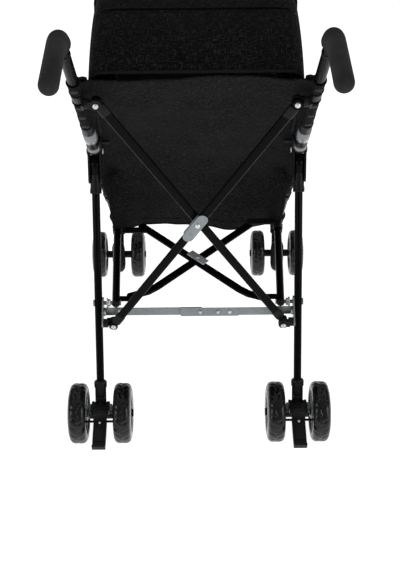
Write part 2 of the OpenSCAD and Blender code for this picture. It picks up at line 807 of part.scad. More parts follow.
module hood() {
  outer = cabin_half + gore_gap + 2.5;
  color("#26272b") difference() {
    place(0, hood_pivot_y, hood_pivot_z) between_angles(hood_front_a, hood_split_a + 5)
      gore(hood_r, outer, 2.5);
    for (s = [-1, 1]) place(s * half_track, hood_pivot_y, hood_pivot_z) cross_pin(pin_r + running, 80);
  }
}

// Loose pad that lies on the pouch floor
module floor_mat() {
  slope = atan((pouch_front_z - pouch_back_z) / (pouch_front_y - pouch_back_y));
  mat_len = 196;
  mat_t = 12;
  radius = 20;
  half = pouch_half - cloth_t - 4;
  color("#3a3c42") place(0, pouch_back_y + 18, pouch_back_z + 9.6, slope) {
    translate([-half + radius, 0, 0]) cube([2 * half - 2 * radius, mat_len, mat_t]);
    translate([-half, radius, 0]) cube([2 * half, mat_len - 2 * radius, mat_t]);
    for (x = [-half + radius, half - radius], y = [radius, mat_len - radius])
      translate([x, y, 0]) cylinder(r = radius, h = mat_t);
  }
}

// Mesh panel on a frame, hinged along the front lip
module mesh_door() {
  top = on_hood(hood_front_a, hood_inner);
  base = [lip_y + 5, lip_z + 4];
  span = norm(top - base);
  lean = atan2(base.x - top.x, top.y - base.y);
  half = cabin_half - 2;
  border = 12;
  color("#33353b") place(0, base.x, base.y, lean) difference() {
    translate([-half, -4, 0]) cube([2 * half, 4, span]);
    translate([-half + border, -4.01, border]) cube([2 * half - 2 * border, 1.5, span - 2 * border]);
  }
}

// ---------- assembly ----------

wheel_x = [half_track + rear_pair / 2, half_track - rear_pair / 2];
castor_x = [half_track + front_pair / 2, half_track - front_pair / 2];

push_tube(-1);  // push_tube_left
push_tube(1);  // push_tube_right
handle_grip(-1);  // handle_grip_left
handle_grip(1);  // handle_grip_right
tube_clips(-1);  // tube_clips_left
tube_clips(1);  // tube_clips_right
castor_socket(-1);  // castor_socket_left
castor_socket(1);  // castor_socket_right
castor_fork(-1);  // castor_fork_left
castor_fork(1);  // castor_fork_right
front_axle(-1);  // front_axle_left
front_axle(1);  // front_axle_right
front_tyre(-castor_x[0]);  // front_tyre_left_outer
front_tyre(-castor_x[1]);  // front_tyre_left_inner
front_tyre(castor_x[1]);  // front_tyre_right_inner
front_tyre(castor_x[0]);  // front_tyre_right_outer
front_rim(-castor_x[0]);  // front_rim_left_outer
front_rim(-castor_x[1]);  // front_rim_left_inner
front_rim(castor_x[1]);  // front_rim_right_inner
front_rim(castor_x[0]);  // front_rim_right_outer
leg_top_joint(-1);  // leg_top_joint_left
leg_top_joint(1);  // leg_top_joint_right
rear_leg(-1);  // rear_leg_left
rear_leg(1);  // rear_leg_right
axle_housing(-1);  // axle_housing_left
axle_housing(1);  // axle_housing_right
rear_axle(-1);  // rear_axle_left
rear_axle(1);  // rear_axle_right
brake_pedal(-1);  // brake_pedal_left
brake_pedal(1);  // brake_pedal_right
rear_tyre(-wheel_x[0]);  // rear_tyre_left_outer
rear_tyre(-wheel_x[1]);  // rear_tyre_left_inner
rear_tyre(wheel_x[1]);  // rear_tyre_right_inner
rear_tyre(wheel_x[0]);  // rear_tyre_right_outer
rear_rim(-wheel_x[0], -1);  // rear_rim_left_outer
rear_rim(-wheel_x[1], 1);  // rear_rim_left_inner
rear_rim(wheel_x[1], -1);  // rear_rim_right_inner
rear_rim(wheel_x[0], 1);  // rear_rim_right_outer
leg_bracket(-1);  // leg_bracket_left
leg_bracket(1);  // leg_bracket_right
lower_knuckle(-1);  // lower_knuckle_left
lower_knuckle(1);  // lower_knuckle_right
upper_knuckle(-1);  // upper_knuckle_left
upper_knuckle(1);  // upper_knuckle_right
cross_tube_rear();
cross_tube_front();
cross_clamp();
seat_tube(-1);  // seat_tube_left
seat_tube(1);  // seat_tube_right
seat_glider(-1);  // seat_glider_left
seat_glider(1);  // seat_glider_right
seat_brace_upper();
seat_brace_lower();
lock_bar_left();
lock_bar_right();
carrier_shell();
floor_mat();
mesh_door();
hood();
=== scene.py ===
"""Looks of a folding pet stroller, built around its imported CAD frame."""

import math

import bmesh
import bpy
import numpy as np
from bpy.props import FloatProperty, FloatVectorProperty, IntProperty, PointerProperty
from mathutils import Matrix, Vector


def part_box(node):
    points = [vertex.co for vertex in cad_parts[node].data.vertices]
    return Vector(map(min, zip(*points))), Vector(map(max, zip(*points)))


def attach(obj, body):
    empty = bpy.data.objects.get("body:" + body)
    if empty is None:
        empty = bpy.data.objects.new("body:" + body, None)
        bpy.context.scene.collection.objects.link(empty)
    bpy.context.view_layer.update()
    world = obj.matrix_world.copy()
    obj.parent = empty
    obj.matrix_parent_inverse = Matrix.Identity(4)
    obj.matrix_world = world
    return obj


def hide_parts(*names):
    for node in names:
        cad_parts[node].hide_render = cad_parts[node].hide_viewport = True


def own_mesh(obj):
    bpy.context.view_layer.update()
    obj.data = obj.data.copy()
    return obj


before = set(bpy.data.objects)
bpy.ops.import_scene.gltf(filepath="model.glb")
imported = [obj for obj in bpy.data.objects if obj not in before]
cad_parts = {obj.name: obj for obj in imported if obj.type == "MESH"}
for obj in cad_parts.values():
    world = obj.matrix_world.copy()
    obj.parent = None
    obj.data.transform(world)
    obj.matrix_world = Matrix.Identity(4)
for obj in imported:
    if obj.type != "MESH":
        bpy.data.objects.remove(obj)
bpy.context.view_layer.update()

bl_info = {
    "name": "Pet stroller looks",
    "version": (1, 0, 0),
    "blender": (4, 5, 0),
    "location": "View3D > Sidebar > Stroller",
    "description": "Builds the tyres, cloth, fittings and finishes of a folding pet stroller",
    "category": "Object",
}

MM = 0.001
SIDES = (("left", -1), ("right", 1))

# Places in the side plane, in millimetres: y forward from the rear axle, z up from the floor.
# A lean is measured from upright, in radians; the cross tubes' middle is where they cross.
AXLE_LOW, AXLE_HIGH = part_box("rear_axle_left")
AXLE_Y = (AXLE_LOW.y + AXLE_HIGH.y) / 2
HALF_TRACK = -(AXLE_LOW.x + AXLE_HIGH.x) / 2 / MM
HINGE = (228.0, 553.0)
SLANT = math.sqrt(0.5)
HOOD_PIVOT = (190.0, 591.0)
LIP = (668.0, 415.0)
SEAT_PIN = (98.0, 273.4)
SEAT_RISE = math.radians(7.6)
SEAT_SPLAY = math.tan(math.radians(2.4))
SEAT_X = 168.4
LEG_LEAN = math.atan2(228.0, 490.5)
CROSS_LEAN = math.atan2(54.0, 503.0)
CROSS_MID = (37.0, 498.5)
CROSS_HALF = 305.9
CROSS_TURN = math.atan2(344.0, 505.9)
BAR = (81.4, 262.0)
BAR_LEAN = math.radians(11)
# The back slopes at 45 degrees, so y + z is the same all along it, up to its top
BACK_SUM, BACK_TOP = 791.5, 801.0

# Each finish by its name
LOOKS = {}
GROUPS = {}


def at(x, y, z):
    """A place in the shared frame, in metres, from millimetres sideways and in the side plane."""
    return Vector((x * MM, y * MM + AXLE_Y, z * MM))


def smooth(t):
    """Eases from 0 to 1, flat at both ends."""
    t = min(1.0, max(0.0, t))
    return t * t * (3 - 2 * t)


def mix(a, b, t):
    """The point at the share t from a to b."""
    return tuple(p + (q - p) * t for p, q in zip(a, b))


def on_path(points, t):
    """A point at the share t of a polyline's length."""
    spans = [math.dist(a, b) for a, b in zip(points, points[1:])]
    left = t * sum(spans)
    for a, b, span in zip(points, points[1:], spans):
        if left <= span or b is points[-1]:
            return mix(a, b, min(1.0, left / span))
        left -= span


# ---------- making meshes ----------


def piece(name, verts, faces, look, body, uvs, flat=False):
    """A mesh in one finish, riding on a body; uvs are in metres."""
    mesh = bpy.data.meshes.new(name)
    mesh.from_pydata([tuple(v) for v in verts], [], faces)
    layer = mesh.uv_layers.new(name="metres")
    for loop in mesh.loops:
        layer.data[loop.index].uv = uvs[loop.vertex_index]
    made = bmesh.new()
    made.from_mesh(mesh)
    bmesh.ops.recalc_face_normals(made, faces=made.faces)
    made.to_mesh(mesh)
    made.free()
    for face in mesh.polygons:
        face.use_smooth = not flat
    mesh.materials.append(LOOKS[look])
    obj = bpy.data.objects.new(name, mesh)
    bpy.context.scene.collection.objects.link(obj)
    if body:
        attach(obj, body)
    return obj


def skin(name, surface, nu, nv, thick, look, body, around=False):
    """A sheet of even thickness over surface(u, v), which gives millimetres in the side-plane frame."""
    last = nu if around else nu + 1
    grid = np.array([[surface(i / nu, j / nv) for i in range(last)] for j in range(nv + 1)])
    if around:
        du = np.roll(grid, -1, 1) - np.roll(grid, 1, 1)
    else:
        du = np.gradient(grid, axis=1)
    dv = np.gradient(grid, axis=0)
    normal = np.cross(du, dv)
    normal /= np.maximum(np.linalg.norm(normal, axis=2, keepdims=True), 1e-9)
    rows, columns = grid.shape[:2]
    step_u = np.linalg.norm(np.diff(grid, axis=1), axis=2).mean() * MM
    step_v = np.linalg.norm(np.diff(grid, axis=0), axis=2).mean() * MM
    verts, uvs, faces = [], [], []
    for side in (0.5, -0.5):
        for j in range(rows):
            for i in range(columns):
                verts.append(at(*(grid[j, i] + normal[j, i] * thick * side)))
                uvs.append((i * step_u, j * step_v))
    count = rows * columns
    wrap = columns if around else columns - 1
    for j in range(rows - 1):
        for i in range(wrap):
            k = (i + 1) % columns
            a, b, c, d = j * columns + i, j * columns + k, (j + 1) * columns + k, (j + 1) * columns + i
            faces.append((a, b, c, d))
            faces.append((count + d, count + c, count + b, count + a))
    rim = [[(0, i), (0, (i + 1) % columns)] for i in range(wrap)]
    rim += [[(rows - 1, (i + 1) % columns), (rows - 1, i)] for i in range(wrap)]
    if not around:
        rim += [[(j + 1, 0), (j, 0)] for j in range(rows - 1)]
        rim += [[(j, columns - 1), (j + 1, columns - 1)] for j in range(rows - 1)]
    for (j0, i0), (j1, i1) in rim:
        a, b = j0 * columns + i0, j1 * columns + i1
        faces.append((b, a, count + a, count + b))
    obj = piece(name, verts, faces, look, body, uvs)
    edges = np.linalg.norm(np.cross(np.diff(grid, axis=1)[:-1], np.diff(grid, axis=0)[:, :-1]), axis=2)
    obj["cloth_area"] = float(edges.sum()) * MM * MM
    obj["cloth_width"] = float(np.linalg.norm(np.diff(grid, axis=1), axis=2).sum(axis=1).max()) * MM
    obj["cloth_length"] = float(np.linalg.norm(np.diff(grid, axis=0), axis=2).sum(axis=0).max()) * MM
    return obj


def cloth(name, surface, nu, nv, stands_for, look="heather_cloth",
          body="side_left", squeezed=True, thick=1.4):
    """A sewn panel: a sheet that stands in for a CAD node, which it hides."""
    obj = skin(name, surface, nu, nv, thick, look, body)
    if squeezed:
        squeeze(obj)
    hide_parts(stands_for)
    return obj


def squeeze(obj):
    """Gives the cloth a mesh of its own."""
    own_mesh(obj)


def tube(name, points, radius, look, body, segments=10, oval=1.0, closed=False, ends=True):
    """A round or oval tube along points in metres, on frames that don't twist."""
    points = [Vector(p) for p in points]
    count = len(points)
    tangents = []
    for i in range(count):
        ahead = points[(i + 1) % count] if closed or i < count - 1 else points[i]
        behind = points[i - 1] if closed or i > 0 else points[i]
        tangents.append((ahead - behind).normalized())
    side = tangents[0].orthogonal().normalized()
    verts, uvs, faces, run = [], [], [], 0.0
    for i, (p, t) in enumerate(zip(points, tangents)):
        side = (side - t * side.dot(t)).normalized()
        up = t.cross(side)
        run += (p - points[i - 1]).length if i else 0
        r = radius(i / (count - 1)) if callable(radius) else radius
        for k in range(segments):
            a = 2 * math.pi * k / segments
            verts.append(p + (side * math.cos(a) + up * math.sin(a) * oval) * r * MM)
            uvs.append((k / segments * 6.28 * r * MM, run))
    spans = count if closed else count - 1
    for i in range(spans):
        for k in range(segments):
            a, b = i * segments + k, i * segments + (k + 1) % segments
            j = (i + 1) % count
            faces.append((a, b, j * segments + (k + 1) % segments, j * segments + k))
    if ends and not closed:
        faces.append(tuple(range(segments))[::-1])
        faces.append(tuple(range((count - 1) * segments, count * segments)))
    return piece(name, verts, faces, look, body, uvs)


def turned(name, profile, centre, axis, look, body, segments=32, wobble=None):
    """A turned part: profile is (radius, height) in millimetres, from the axis or as a closed ring."""
    axis = Vector(axis).normalized()
    side = axis.orthogonal().normalized()
    if abs(axis.x) > 0.9:
        side = Vector((0, 0, 1))
    up = axis.cross(side)
    verts, uvs, faces = [], [], []
    for r, h in profile:
        for k in range(segments):
            a = 2 * math.pi * k / segments
            rr = r * (wobble(a) if wobble else 1)
            out = side * math.cos(a) + up * math.sin(a)
            verts.append(centre + axis * h * MM + out * max(rr, 1e-3) * MM)
            uvs.append((a * 0.02, (r + h) * MM))
    ring = profile[0][0] > 0.5 and profile[-1][0] > 0.5
    rows = len(profile)
    for j in range(rows if ring else rows - 1):
        for k in range(segments):
            a, b = j * segments + k, j * segments + (k + 1) % segments
            c, d = (j + 1) % rows * segments + (k + 1) % segments, (j + 1) % rows * segments + k
            faces.append((a, b, c, d))
    if not ring:
        faces.append(tuple(range(segments))[::-1])
        faces.append(tuple(range((rows - 1) * segments, rows * segments)))
    return piece(name, verts, faces, look, body, uvs)


def dome(name, centre, axis, radius, height, look, body, segments=24):
    """A round rivet head."""
    arc = [(radius * math.cos(a), height * math.sin(a)) for a in np.linspace(0, math.pi / 2, 7)]
    return turned(name, [(0, -0.6), (radius, -0.6)] + arc, centre, axis, look, body, segments)


def block(name, centre, size, turn, look, body, bevel=1.5, segments=3):
    """A rounded block: size in millimetres, turn is a 3x3 matrix."""
    made = bmesh.new()
    bmesh.ops.create_cube(made, size=1)
    for v in made.verts:
        v.co = Vector((v.co.x * size[0], v.co.y * size[1], v.co.z * size[2])) * MM
    bmesh.ops.bevel(
        made, geom=list(made.edges), offset=bevel * MM, segments=segments, affect="EDGES", profile=0.5
    )
    verts = [centre + turn @ v.co for v in made.verts]
    made.verts.index_update()
    faces = [tuple(v.index for v in f.verts) for f in made.faces]
    uvs = [(v.co.x, v.co.z) for v in made.verts]
    made.free()
    return piece(name, verts, faces, look, body, uvs)


def rounded_bar(name, points, normal, width, thick, look, body, segments=16):
    """A flat-oval bar along points in metres, its broad side square to normal."""
    up = normal.normalized()
    verts, uvs, faces, run = [], [], [], 0.0
    count = len(points)
    for i, p in enumerate(points):
        ahead = (points[min(count - 1, i + 1)] - points[max(0, i - 1)]).normalized()
        wide = ahead.cross(up).normalized()
        run += (p - points[i - 1]).length if i else 0
        for k in range(segments):
            a = 2 * math.pi * (k + 0.5) / segments
            x = (width - thick) / 2 * (1 if math.cos(a) > 0 else -1) + thick / 2 * math.cos(a)
            verts.append(p + (wide * x + up * math.sin(a) * thick / 2) * MM)
            uvs.append((k * 0.002, run))
    for i in range(count - 1):
        for k in range(segments):
            a, b = i * segments + k, i * segments + (k + 1) % segments
            faces.append((a, b, b + segments, a + segments))
    faces += [tuple(range(segments))[::-1], tuple(range((count - 1) * segments, count * segments))]
    return piece(name, verts, faces, look, body, uvs)


def lean(angle):
    """Turns about X: a positive angle tips the top backwards."""
    return Matrix.Rotation(angle, 3, "X")


# ---------- shader node groups ----------


def new_group(name, inputs, outputs):
    """An empty node group with its named sockets."""
    group = bpy.data.node_groups.new(name, "ShaderNodeTree")
    for label, kind, value in inputs:
        socket = group.interface.new_socket(label, in_out="INPUT", socket_type=kind)
        socket.default_value = value
    for label, kind in outputs:
        group.interface.new_socket(label, in_out="OUTPUT", socket_type=kind)
    return group, group.nodes.new("NodeGroupInput"), group.nodes.new("NodeGroupOutput")


def join(tree, a, b):
    tree.links.new(a, b)


def calc(tree, operation, a, b=None, c=None):
    """A Math node; a, b and c are numbers or sockets."""
    node = tree.nodes.new("ShaderNodeMath")
    node.operation = operation
    for slot, value in enumerate((a, b, c)):
        if value is None:
            continue
        if isinstance(value, (int, float)):
            node.inputs[slot].default_value = value
        else:
            join(tree, value, node.inputs[slot])
    return node.outputs[0]


def noise(tree, vector, scale, detail=3.0, rough=0.5):
    """Cloudy noise from 0 to 1."""
    node = tree.nodes.new("ShaderNodeTexNoise")
    node.inputs["Detail"].default_value = detail
    node.inputs["Roughness"].default_value = rough
    for key, value in (("Scale", scale), ("Vector", vector)):
        if isinstance(value, (int, float)):
            node.inputs[key].default_value = value
        else:
            join(tree, value, node.inputs[key])
    return node.outputs["Fac"]


def stretch(tree, vector, scale):
    """Scales a vector, each way by its own factor."""
    node = tree.nodes.new("ShaderNodeMapping")
    node.inputs["Scale"].default_value = scale
    join(tree, vector, node.inputs["Vector"])
    return node.outputs[0]


def ramp(tree, value, low, high):
    """Eases a value from 0 at low to 1 at high."""
    node = tree.nodes.new("ShaderNodeMapRange")
    node.interpolation_type = "SMOOTHSTEP"
    join(tree, value, node.inputs["Value"])
    node.inputs["From Min"].default_value = low
    node.inputs["From Max"].default_value = high
    return node.outputs[0]


def blend_colour(tree, factor, a, b):
    """Mixes two colours, each a tuple or a socket."""
    node = tree.nodes.new("ShaderNodeMix")
    node.data_type = "RGBA"
    for slot, value in ((0, factor), (6, a), (7, b)):
        if isinstance(value, (int, float, tuple)):
            node.inputs[slot].default_value = value
        else:
            join(tree, value, node.inputs[slot])
    return node.outputs[2]


def crossed_waves(tree, vector, rate):
    """Sine waves both ways, multiplied into a grid of humps and hollows."""
    split = tree.nodes.new("ShaderNodeSeparateXYZ")
    join(tree, vector, split.inputs[0])
    waves = [calc(tree, "SINE", calc(tree, "MULTIPLY", split.outputs[axis], rate)) for axis in (0, 1)]
    return calc(tree, "MULTIPLY", waves[0], waves[1])


def weave_group():
    """Heathered plain weave: light and dark threads both ways, and the threads' height."""
    group, inp, out = new_group(
        "Heathered weave",
        [("Vector", "NodeSocketVector", (0, 0, 0)), ("Dark", "NodeSocketColor", (0.01, 0.01, 0.012, 1)),
         ("Light", "NodeSocketColor", (0.08, 0.08, 0.09, 1)), ("Threads", "NodeSocketFloat", 900.0)],
        [("Color", "NodeSocketColor"), ("Height", "NodeSocketFloat"), ("Roughness", "NodeSocketFloat")],
    )
    vector = inp.outputs["Vector"]
    across = noise(group, stretch(group, vector, (90, 900, 1)), 1.0, 2.0, 0.6)
    along = noise(group, stretch(group, vector, (900, 90, 1)), 1.0, 2.0, 0.6)
    threads = calc(group, "MAXIMUM", across, along)
    fleck = ramp(group, threads, 0.5, 0.78)
    cloudy = noise(group, vector, 14.0, 3.0)
    amount = calc(group, "MULTIPLY", fleck, calc(group, "MULTIPLY_ADD", cloudy, 0.9, 0.35))
    colour = blend_colour(group, amount, inp.outputs["Dark"], inp.outputs["Light"])
    join(group, colour, out.inputs["Color"])
    weave = crossed_waves(group, vector, inp.outputs["Threads"])
    join(group, calc(group, "ADD", calc(group, "MULTIPLY", weave, 0.35), threads), out.inputs["Height"])
    join(group, calc(group, "MULTIPLY_ADD", threads, 0.15, 0.78), out.inputs["Roughness"])
    return group


def wear_group():
    """Worn edges and fine dust: a mask for both, from the surface's own shape and noise."""
    group, inp, out = new_group(
        "Edge wear and dust",
        [
            ("Edge", "NodeSocketFloat", 0.5), ("Scale", "NodeSocketFloat", 120.0),
            ("Dust", "NodeSocketFloat", 0.3)
        ],
        [("Wear", "NodeSocketFloat"), ("Dust", "NodeSocketFloat")],
    )
    shape = group.nodes.new("ShaderNodeNewGeometry")
    place = group.nodes.new("ShaderNodeTexCoord").outputs["Object"]
    patchy = noise(group, place, inp.outputs["Scale"], 4.0, 0.65)
    edge = ramp(group, shape.outputs["Pointiness"], 0.53, 0.6)
    cloud = ramp(group, noise(group, place, 9.0, 4.0), 0.42, 0.75)
    for mask, amount, result in ((edge, "Edge", "Wear"), (cloud, "Dust", "Dust")):
        broken = calc(group, "MULTIPLY", mask, patchy)
        join(group, calc(group, "MULTIPLY", broken, inp.outputs[amount]), out.inputs[result])
    return group


def grain_group():
    """Moulded grain: fine pits and a slow drift of tone."""
    group, inp, out = new_group(
        "Moulded grain",
        [("Scale", "NodeSocketFloat", 900.0), ("Base", "NodeSocketColor", (0.02, 0.02, 0.02, 1)),
         ("Tone", "NodeSocketColor", (0.05, 0.05, 0.05, 1))],
        [("Color", "NodeSocketColor"), ("Height", "NodeSocketFloat"), ("Variation", "NodeSocketFloat")],
    )
    place = group.nodes.new("ShaderNodeTexCoord").outputs["Object"]
    fine = noise(group, place, inp.outputs["Scale"], 2.0, 0.5)
    slow = noise(group, place, 22.0, 3.0, 0.55)
    join(group, fine, out.inputs["Height"])
    join(group, slow, out.inputs["Variation"])
    colour = blend_colour(group, ramp(group, slow, 0.3, 0.75), inp.outputs["Base"], inp.outputs["Tone"])
    join(group, colour, out.inputs["Color"])
    return group


def scratch_group():
    """Rolled or drawn metal: long fine lines one way, with cloudy zinc spangle."""
    group, inp, out = new_group(
        "Drawn metal",
        [("Dark", "NodeSocketColor", (0.4, 0.4, 0.4, 1)), ("Bright", "NodeSocketColor", (0.7, 0.7, 0.7, 1)),
         ("Rough", "NodeSocketFloat", 0.3)],
        [("Color", "NodeSocketColor"), ("Roughness", "NodeSocketFloat"), ("Height", "NodeSocketFloat")],
    )
    place = group.nodes.new("ShaderNodeTexCoord").outputs["Object"]
    lines = noise(group, stretch(group, place, (30, 900, 900)), 1.0, 2.0, 0.6)
    cells = group.nodes.new("ShaderNodeTexVoronoi")
    cells.inputs["Scale"].default_value = 140.0
    join(group, place, cells.inputs["Vector"])
    cloud = calc(group, "MULTIPLY", noise(group, place, 9.0, 2.0), 0.9)
    spangle = calc(group, "MULTIPLY_ADD", cells.outputs["Distance"], 0.3, cloud)
    tone = ramp(group, spangle, 0.35, 0.85)
    colour = blend_colour(group, tone, inp.outputs["Dark"], inp.outputs["Bright"])
    join(group, colour, out.inputs["Color"])
    join(group, calc(group, "MULTIPLY_ADD", lines, 0.22, inp.outputs["Rough"]), out.inputs["Roughness"])
    join(group, lines, out.inputs["Height"])
    return group


def use(tree, name, **values):
    """Places one of the shared groups with its own values."""
    node = tree.nodes.new("ShaderNodeGroup")
    node.node_tree = GROUPS[name]
    for key, value in values.items():
        node.inputs[key].default_value = value
    return node


def base_material(name):
    """A new material, listed in LOOKS, with its tree and shader."""
    material = bpy.data.materials.new(name)
    material.use_nodes = True
    shader = material.node_tree.nodes["Principled BSDF"]
    LOOKS[name] = material
    return material, material.node_tree, shader


def bumped(tree, shader, height, strength, distance):
    """Raises the surface by a height; distance is in metres."""
    bump = tree.nodes.new("ShaderNodeBump")
    bump.inputs["Strength"].default_value = strength
    bump.inputs["Distance"].default_value = distance
    join(tree, height, bump.inputs["Height"])
    join(tree, bump.outputs[0], shader.inputs["Normal"])


def rgb(colour):
    """A colour with its alpha, as a node's socket takes it."""
    return tuple(colour)[:3] + (1.0,)


def toned(colour, share):
    """The same colour, lighter or darker."""
    return tuple(min(1.0, value * share) for value in colour)


def cloth_look(name, dark, light, threads=5200.0, sheen=0.03, bump=0.5):
    """Woven cloth of two threads, laid out by its metres."""
    material, tree, shader = base_material(name)
    weave = use(tree, "weave", Dark=rgb(dark), Light=rgb(light), Threads=threads)
    uv = tree.nodes.new("ShaderNodeTexCoord")
    join(tree, uv.outputs["UV"], weave.inputs["Vector"])
    join(tree, weave.outputs["Color"], shader.inputs["Base Color"])
    join(tree, weave.outputs["Roughness"], shader.inputs["Roughness"])
    bumped(tree, shader, weave.outputs["Height"], bump, 0.0006)
    shader.inputs["Sheen Weight"].default_value = sheen
    shader.inputs["Sheen Roughness"].default_value = 0.5
    shader.inputs["Specular IOR Level"].default_value = 0.05
    return material


def moulded_look(
    name, base, tone, rough, scale=900.0, bump=0.15, coat=0.0, dust=0.12, distance=0.0003, gloss=0.12
):
    """Moulded plastic or foam: two close tones, fine grain, worn edges."""
    material, tree, shader = base_material(name)
    grain = use(tree, "grain", Scale=scale, Base=rgb(base), Tone=rgb(tone))
    wear = use(tree, "wear", Edge=0.35, Scale=150.0, Dust=dust)
    pale = tuple(min(1.0, c * 2.0 + 0.003) for c in tone[:3]) + (1.0,)
    marks = calc(tree, "ADD", wear.outputs["Wear"], wear.outputs["Dust"])
    join(tree, blend_colour(tree, marks, grain.outputs["Color"], pale), shader.inputs["Base Color"])
    roughness = calc(tree, "MULTIPLY_ADD", grain.outputs["Variation"], 0.2, rough - 0.1)
    join(tree, roughness, shader.inputs["Roughness"])
    bumped(tree, shader, grain.outputs["Height"], bump, distance)
    shader.inputs["Specular IOR Level"].default_value = gloss
    if coat:
        shader.inputs["Coat Weight"].default_value = coat
        shader.inputs["Coat Roughness"].default_value = 0.12
    return material


def metal_look(name, dark, bright, rough, bump=0.08):
    """Plated or drawn steel with a little grime."""
    material, tree, shader = base_material(name)
    drawn = use(tree, "scratch", Dark=rgb(dark), Bright=rgb(bright), Rough=rough)
    wear = use(tree, "wear", Edge=0.5, Scale=90.0, Dust=0.12)
    grime = blend_colour(tree, wear.outputs["Dust"], drawn.outputs["Color"], (0.2, 0.2, 0.19, 1))
    join(tree, grime, shader.inputs["Base Color"])
    join(tree, drawn.outputs["Roughness"], shader.inputs["Roughness"])
    bumped(tree, shader, drawn.outputs["Height"], bump, 0.0002)
    shader.inputs["Metallic"].default_value = 0.5
    return material


def paint_look(name, base, tone):
    """Powder-coated steel tube: black, glossy, with a trace of orange peel."""
    material = moulded_look(name, base, tone, 0.26, scale=260.0, bump=0.05, dust=0.06, distance=0.0004)
    shader = material.node_tree.nodes["Principled BSDF"]
    shader.inputs["Coat Weight"].default_value = 0.04
    shader.inputs["Coat Roughness"].default_value = 0.12
    shader.inputs["Specular IOR Level"].default_value = 0.03
    return material


def mesh_look(name, colour):
    """Open polyester net: round holes through a dark knit."""
    material, tree, shader = base_material(name)
    uv = tree.nodes.new("ShaderNodeTexCoord").outputs["UV"]
    net = crossed_waves(tree, uv, 2100.0)
    hole = ramp(tree, net, 0.1, 0.55)
    join(tree, calc(tree, "MULTIPLY_ADD", hole, -0.75, 1.0), shader.inputs["Alpha"])
    tint = blend_colour(tree, noise(tree, uv, 60.0), rgb(colour), rgb(toned(colour, 1.6)))
    join(tree, tint, shader.inputs["Base Color"])
    bumped(tree, shader, net, 0.4, 0.0004)
    shader.inputs["Roughness"].default_value = 0.7
    shader.inputs["Specular IOR Level"].default_value = 0.3
    return material


# ---------- settings ----------


class ClothSettings(bpy.types.PropertyGroup):
    dark: FloatVectorProperty(
        name="Dark thread", description="Colour of the dark threads", subtype="COLOR",
        default=(0.0014, 0.0014, 0.0015)
    )
    light: FloatVectorProperty(
        name="Light thread", description="Colour of the light threads", subtype="COLOR",
        default=(0.042, 0.0425, 0.0435)
    )
    sag: FloatProperty(
        name="Sag", description="How far the cloth dips between its supports", default=0.006, unit="LENGTH"
    )
    fold: FloatProperty(
        name="Wrinkles", description="Depth of the soft folds in the cloth", default=0.0035, unit="LENGTH"
    )


class FrameSettings(bpy.types.PropertyGroup):
    paint: FloatVectorProperty(
        name="Tube paint", description="Colour of the painted tubes", subtype="COLOR",
        default=(0.0012, 0.0012, 0.0013)
    )
    plastic: FloatVectorProperty(
        name="Black plastic", description="Colour of the moulded fittings", subtype="COLOR",
        default=(0.006, 0.006, 0.0065)
    )
    # Pale grey that paints in the glare on the glossy dark plastic of the joints.
    joint: FloatVectorProperty(
        name="Leg joint", description="Colour of the glossy joints at the leg tops", subtype="COLOR",
        default=(0.13, 0.138, 0.145)
    )
    zinc: FloatVectorProperty(
        name="Zinc", description="Bright tone of the zinc-plated plates", subtype="COLOR",
        default=(0.235, 0.265, 0.27)
    )


class WheelSettings(bpy.types.PropertyGroup):
    foam: FloatVectorProperty(
        name="Tyre foam", description="Colour of the foam tyres", subtype="COLOR",
        default=(0.0035, 0.0035, 0.0036)
    )
    rim: FloatVectorProperty(
        name="Rim", description="Colour of the rims", subtype="COLOR", default=(0.34, 0.35, 0.36)
    )
    lugs: IntProperty(
        name="Tread blocks", description="Tread blocks round one tyre", default=20, min=8, max=40
    )
    tread: FloatProperty(
        name="Tread depth", description="Depth of the grooves between the blocks", default=0.0011,
        unit="LENGTH"
    )


class StudioSettings(bpy.types.PropertyGroup):
    lens: FloatProperty(name="Lens", description="Focal length on a 36 mm sensor", default=63.2)
    pitch: FloatProperty(
        name="Camera pitch", description="How far the camera looks down", subtype="ANGLE",
        default=math.radians(33.9)
    )
    roll: FloatProperty(
        name="Camera roll", description="How far the camera leans sideways", subtype="ANGLE",
        default=math.radians(0.5)
    )
    key: FloatProperty(name="Key light", description="Strength of the main soft light", default=32.0)
    top: FloatProperty(name="Top light", description="Strength of the soft light overhead", default=22.0)
    floor: FloatProperty(
        name="Floor glow", description="How much light the lit table gives off", default=0.92
    )
    world: FloatProperty(
        name="Surroundings", description="Strength of the light from all round", default=0.22
    )


SETTINGS = {
    "cloth": ClothSettings, "frame_parts": FrameSettings, "wheels": WheelSettings, "studio": StudioSettings
}


def settings(name):
    """One of the groups in SETTINGS, as the scene holds it."""
    return getattr(bpy.context.scene, "stroller_" + name)


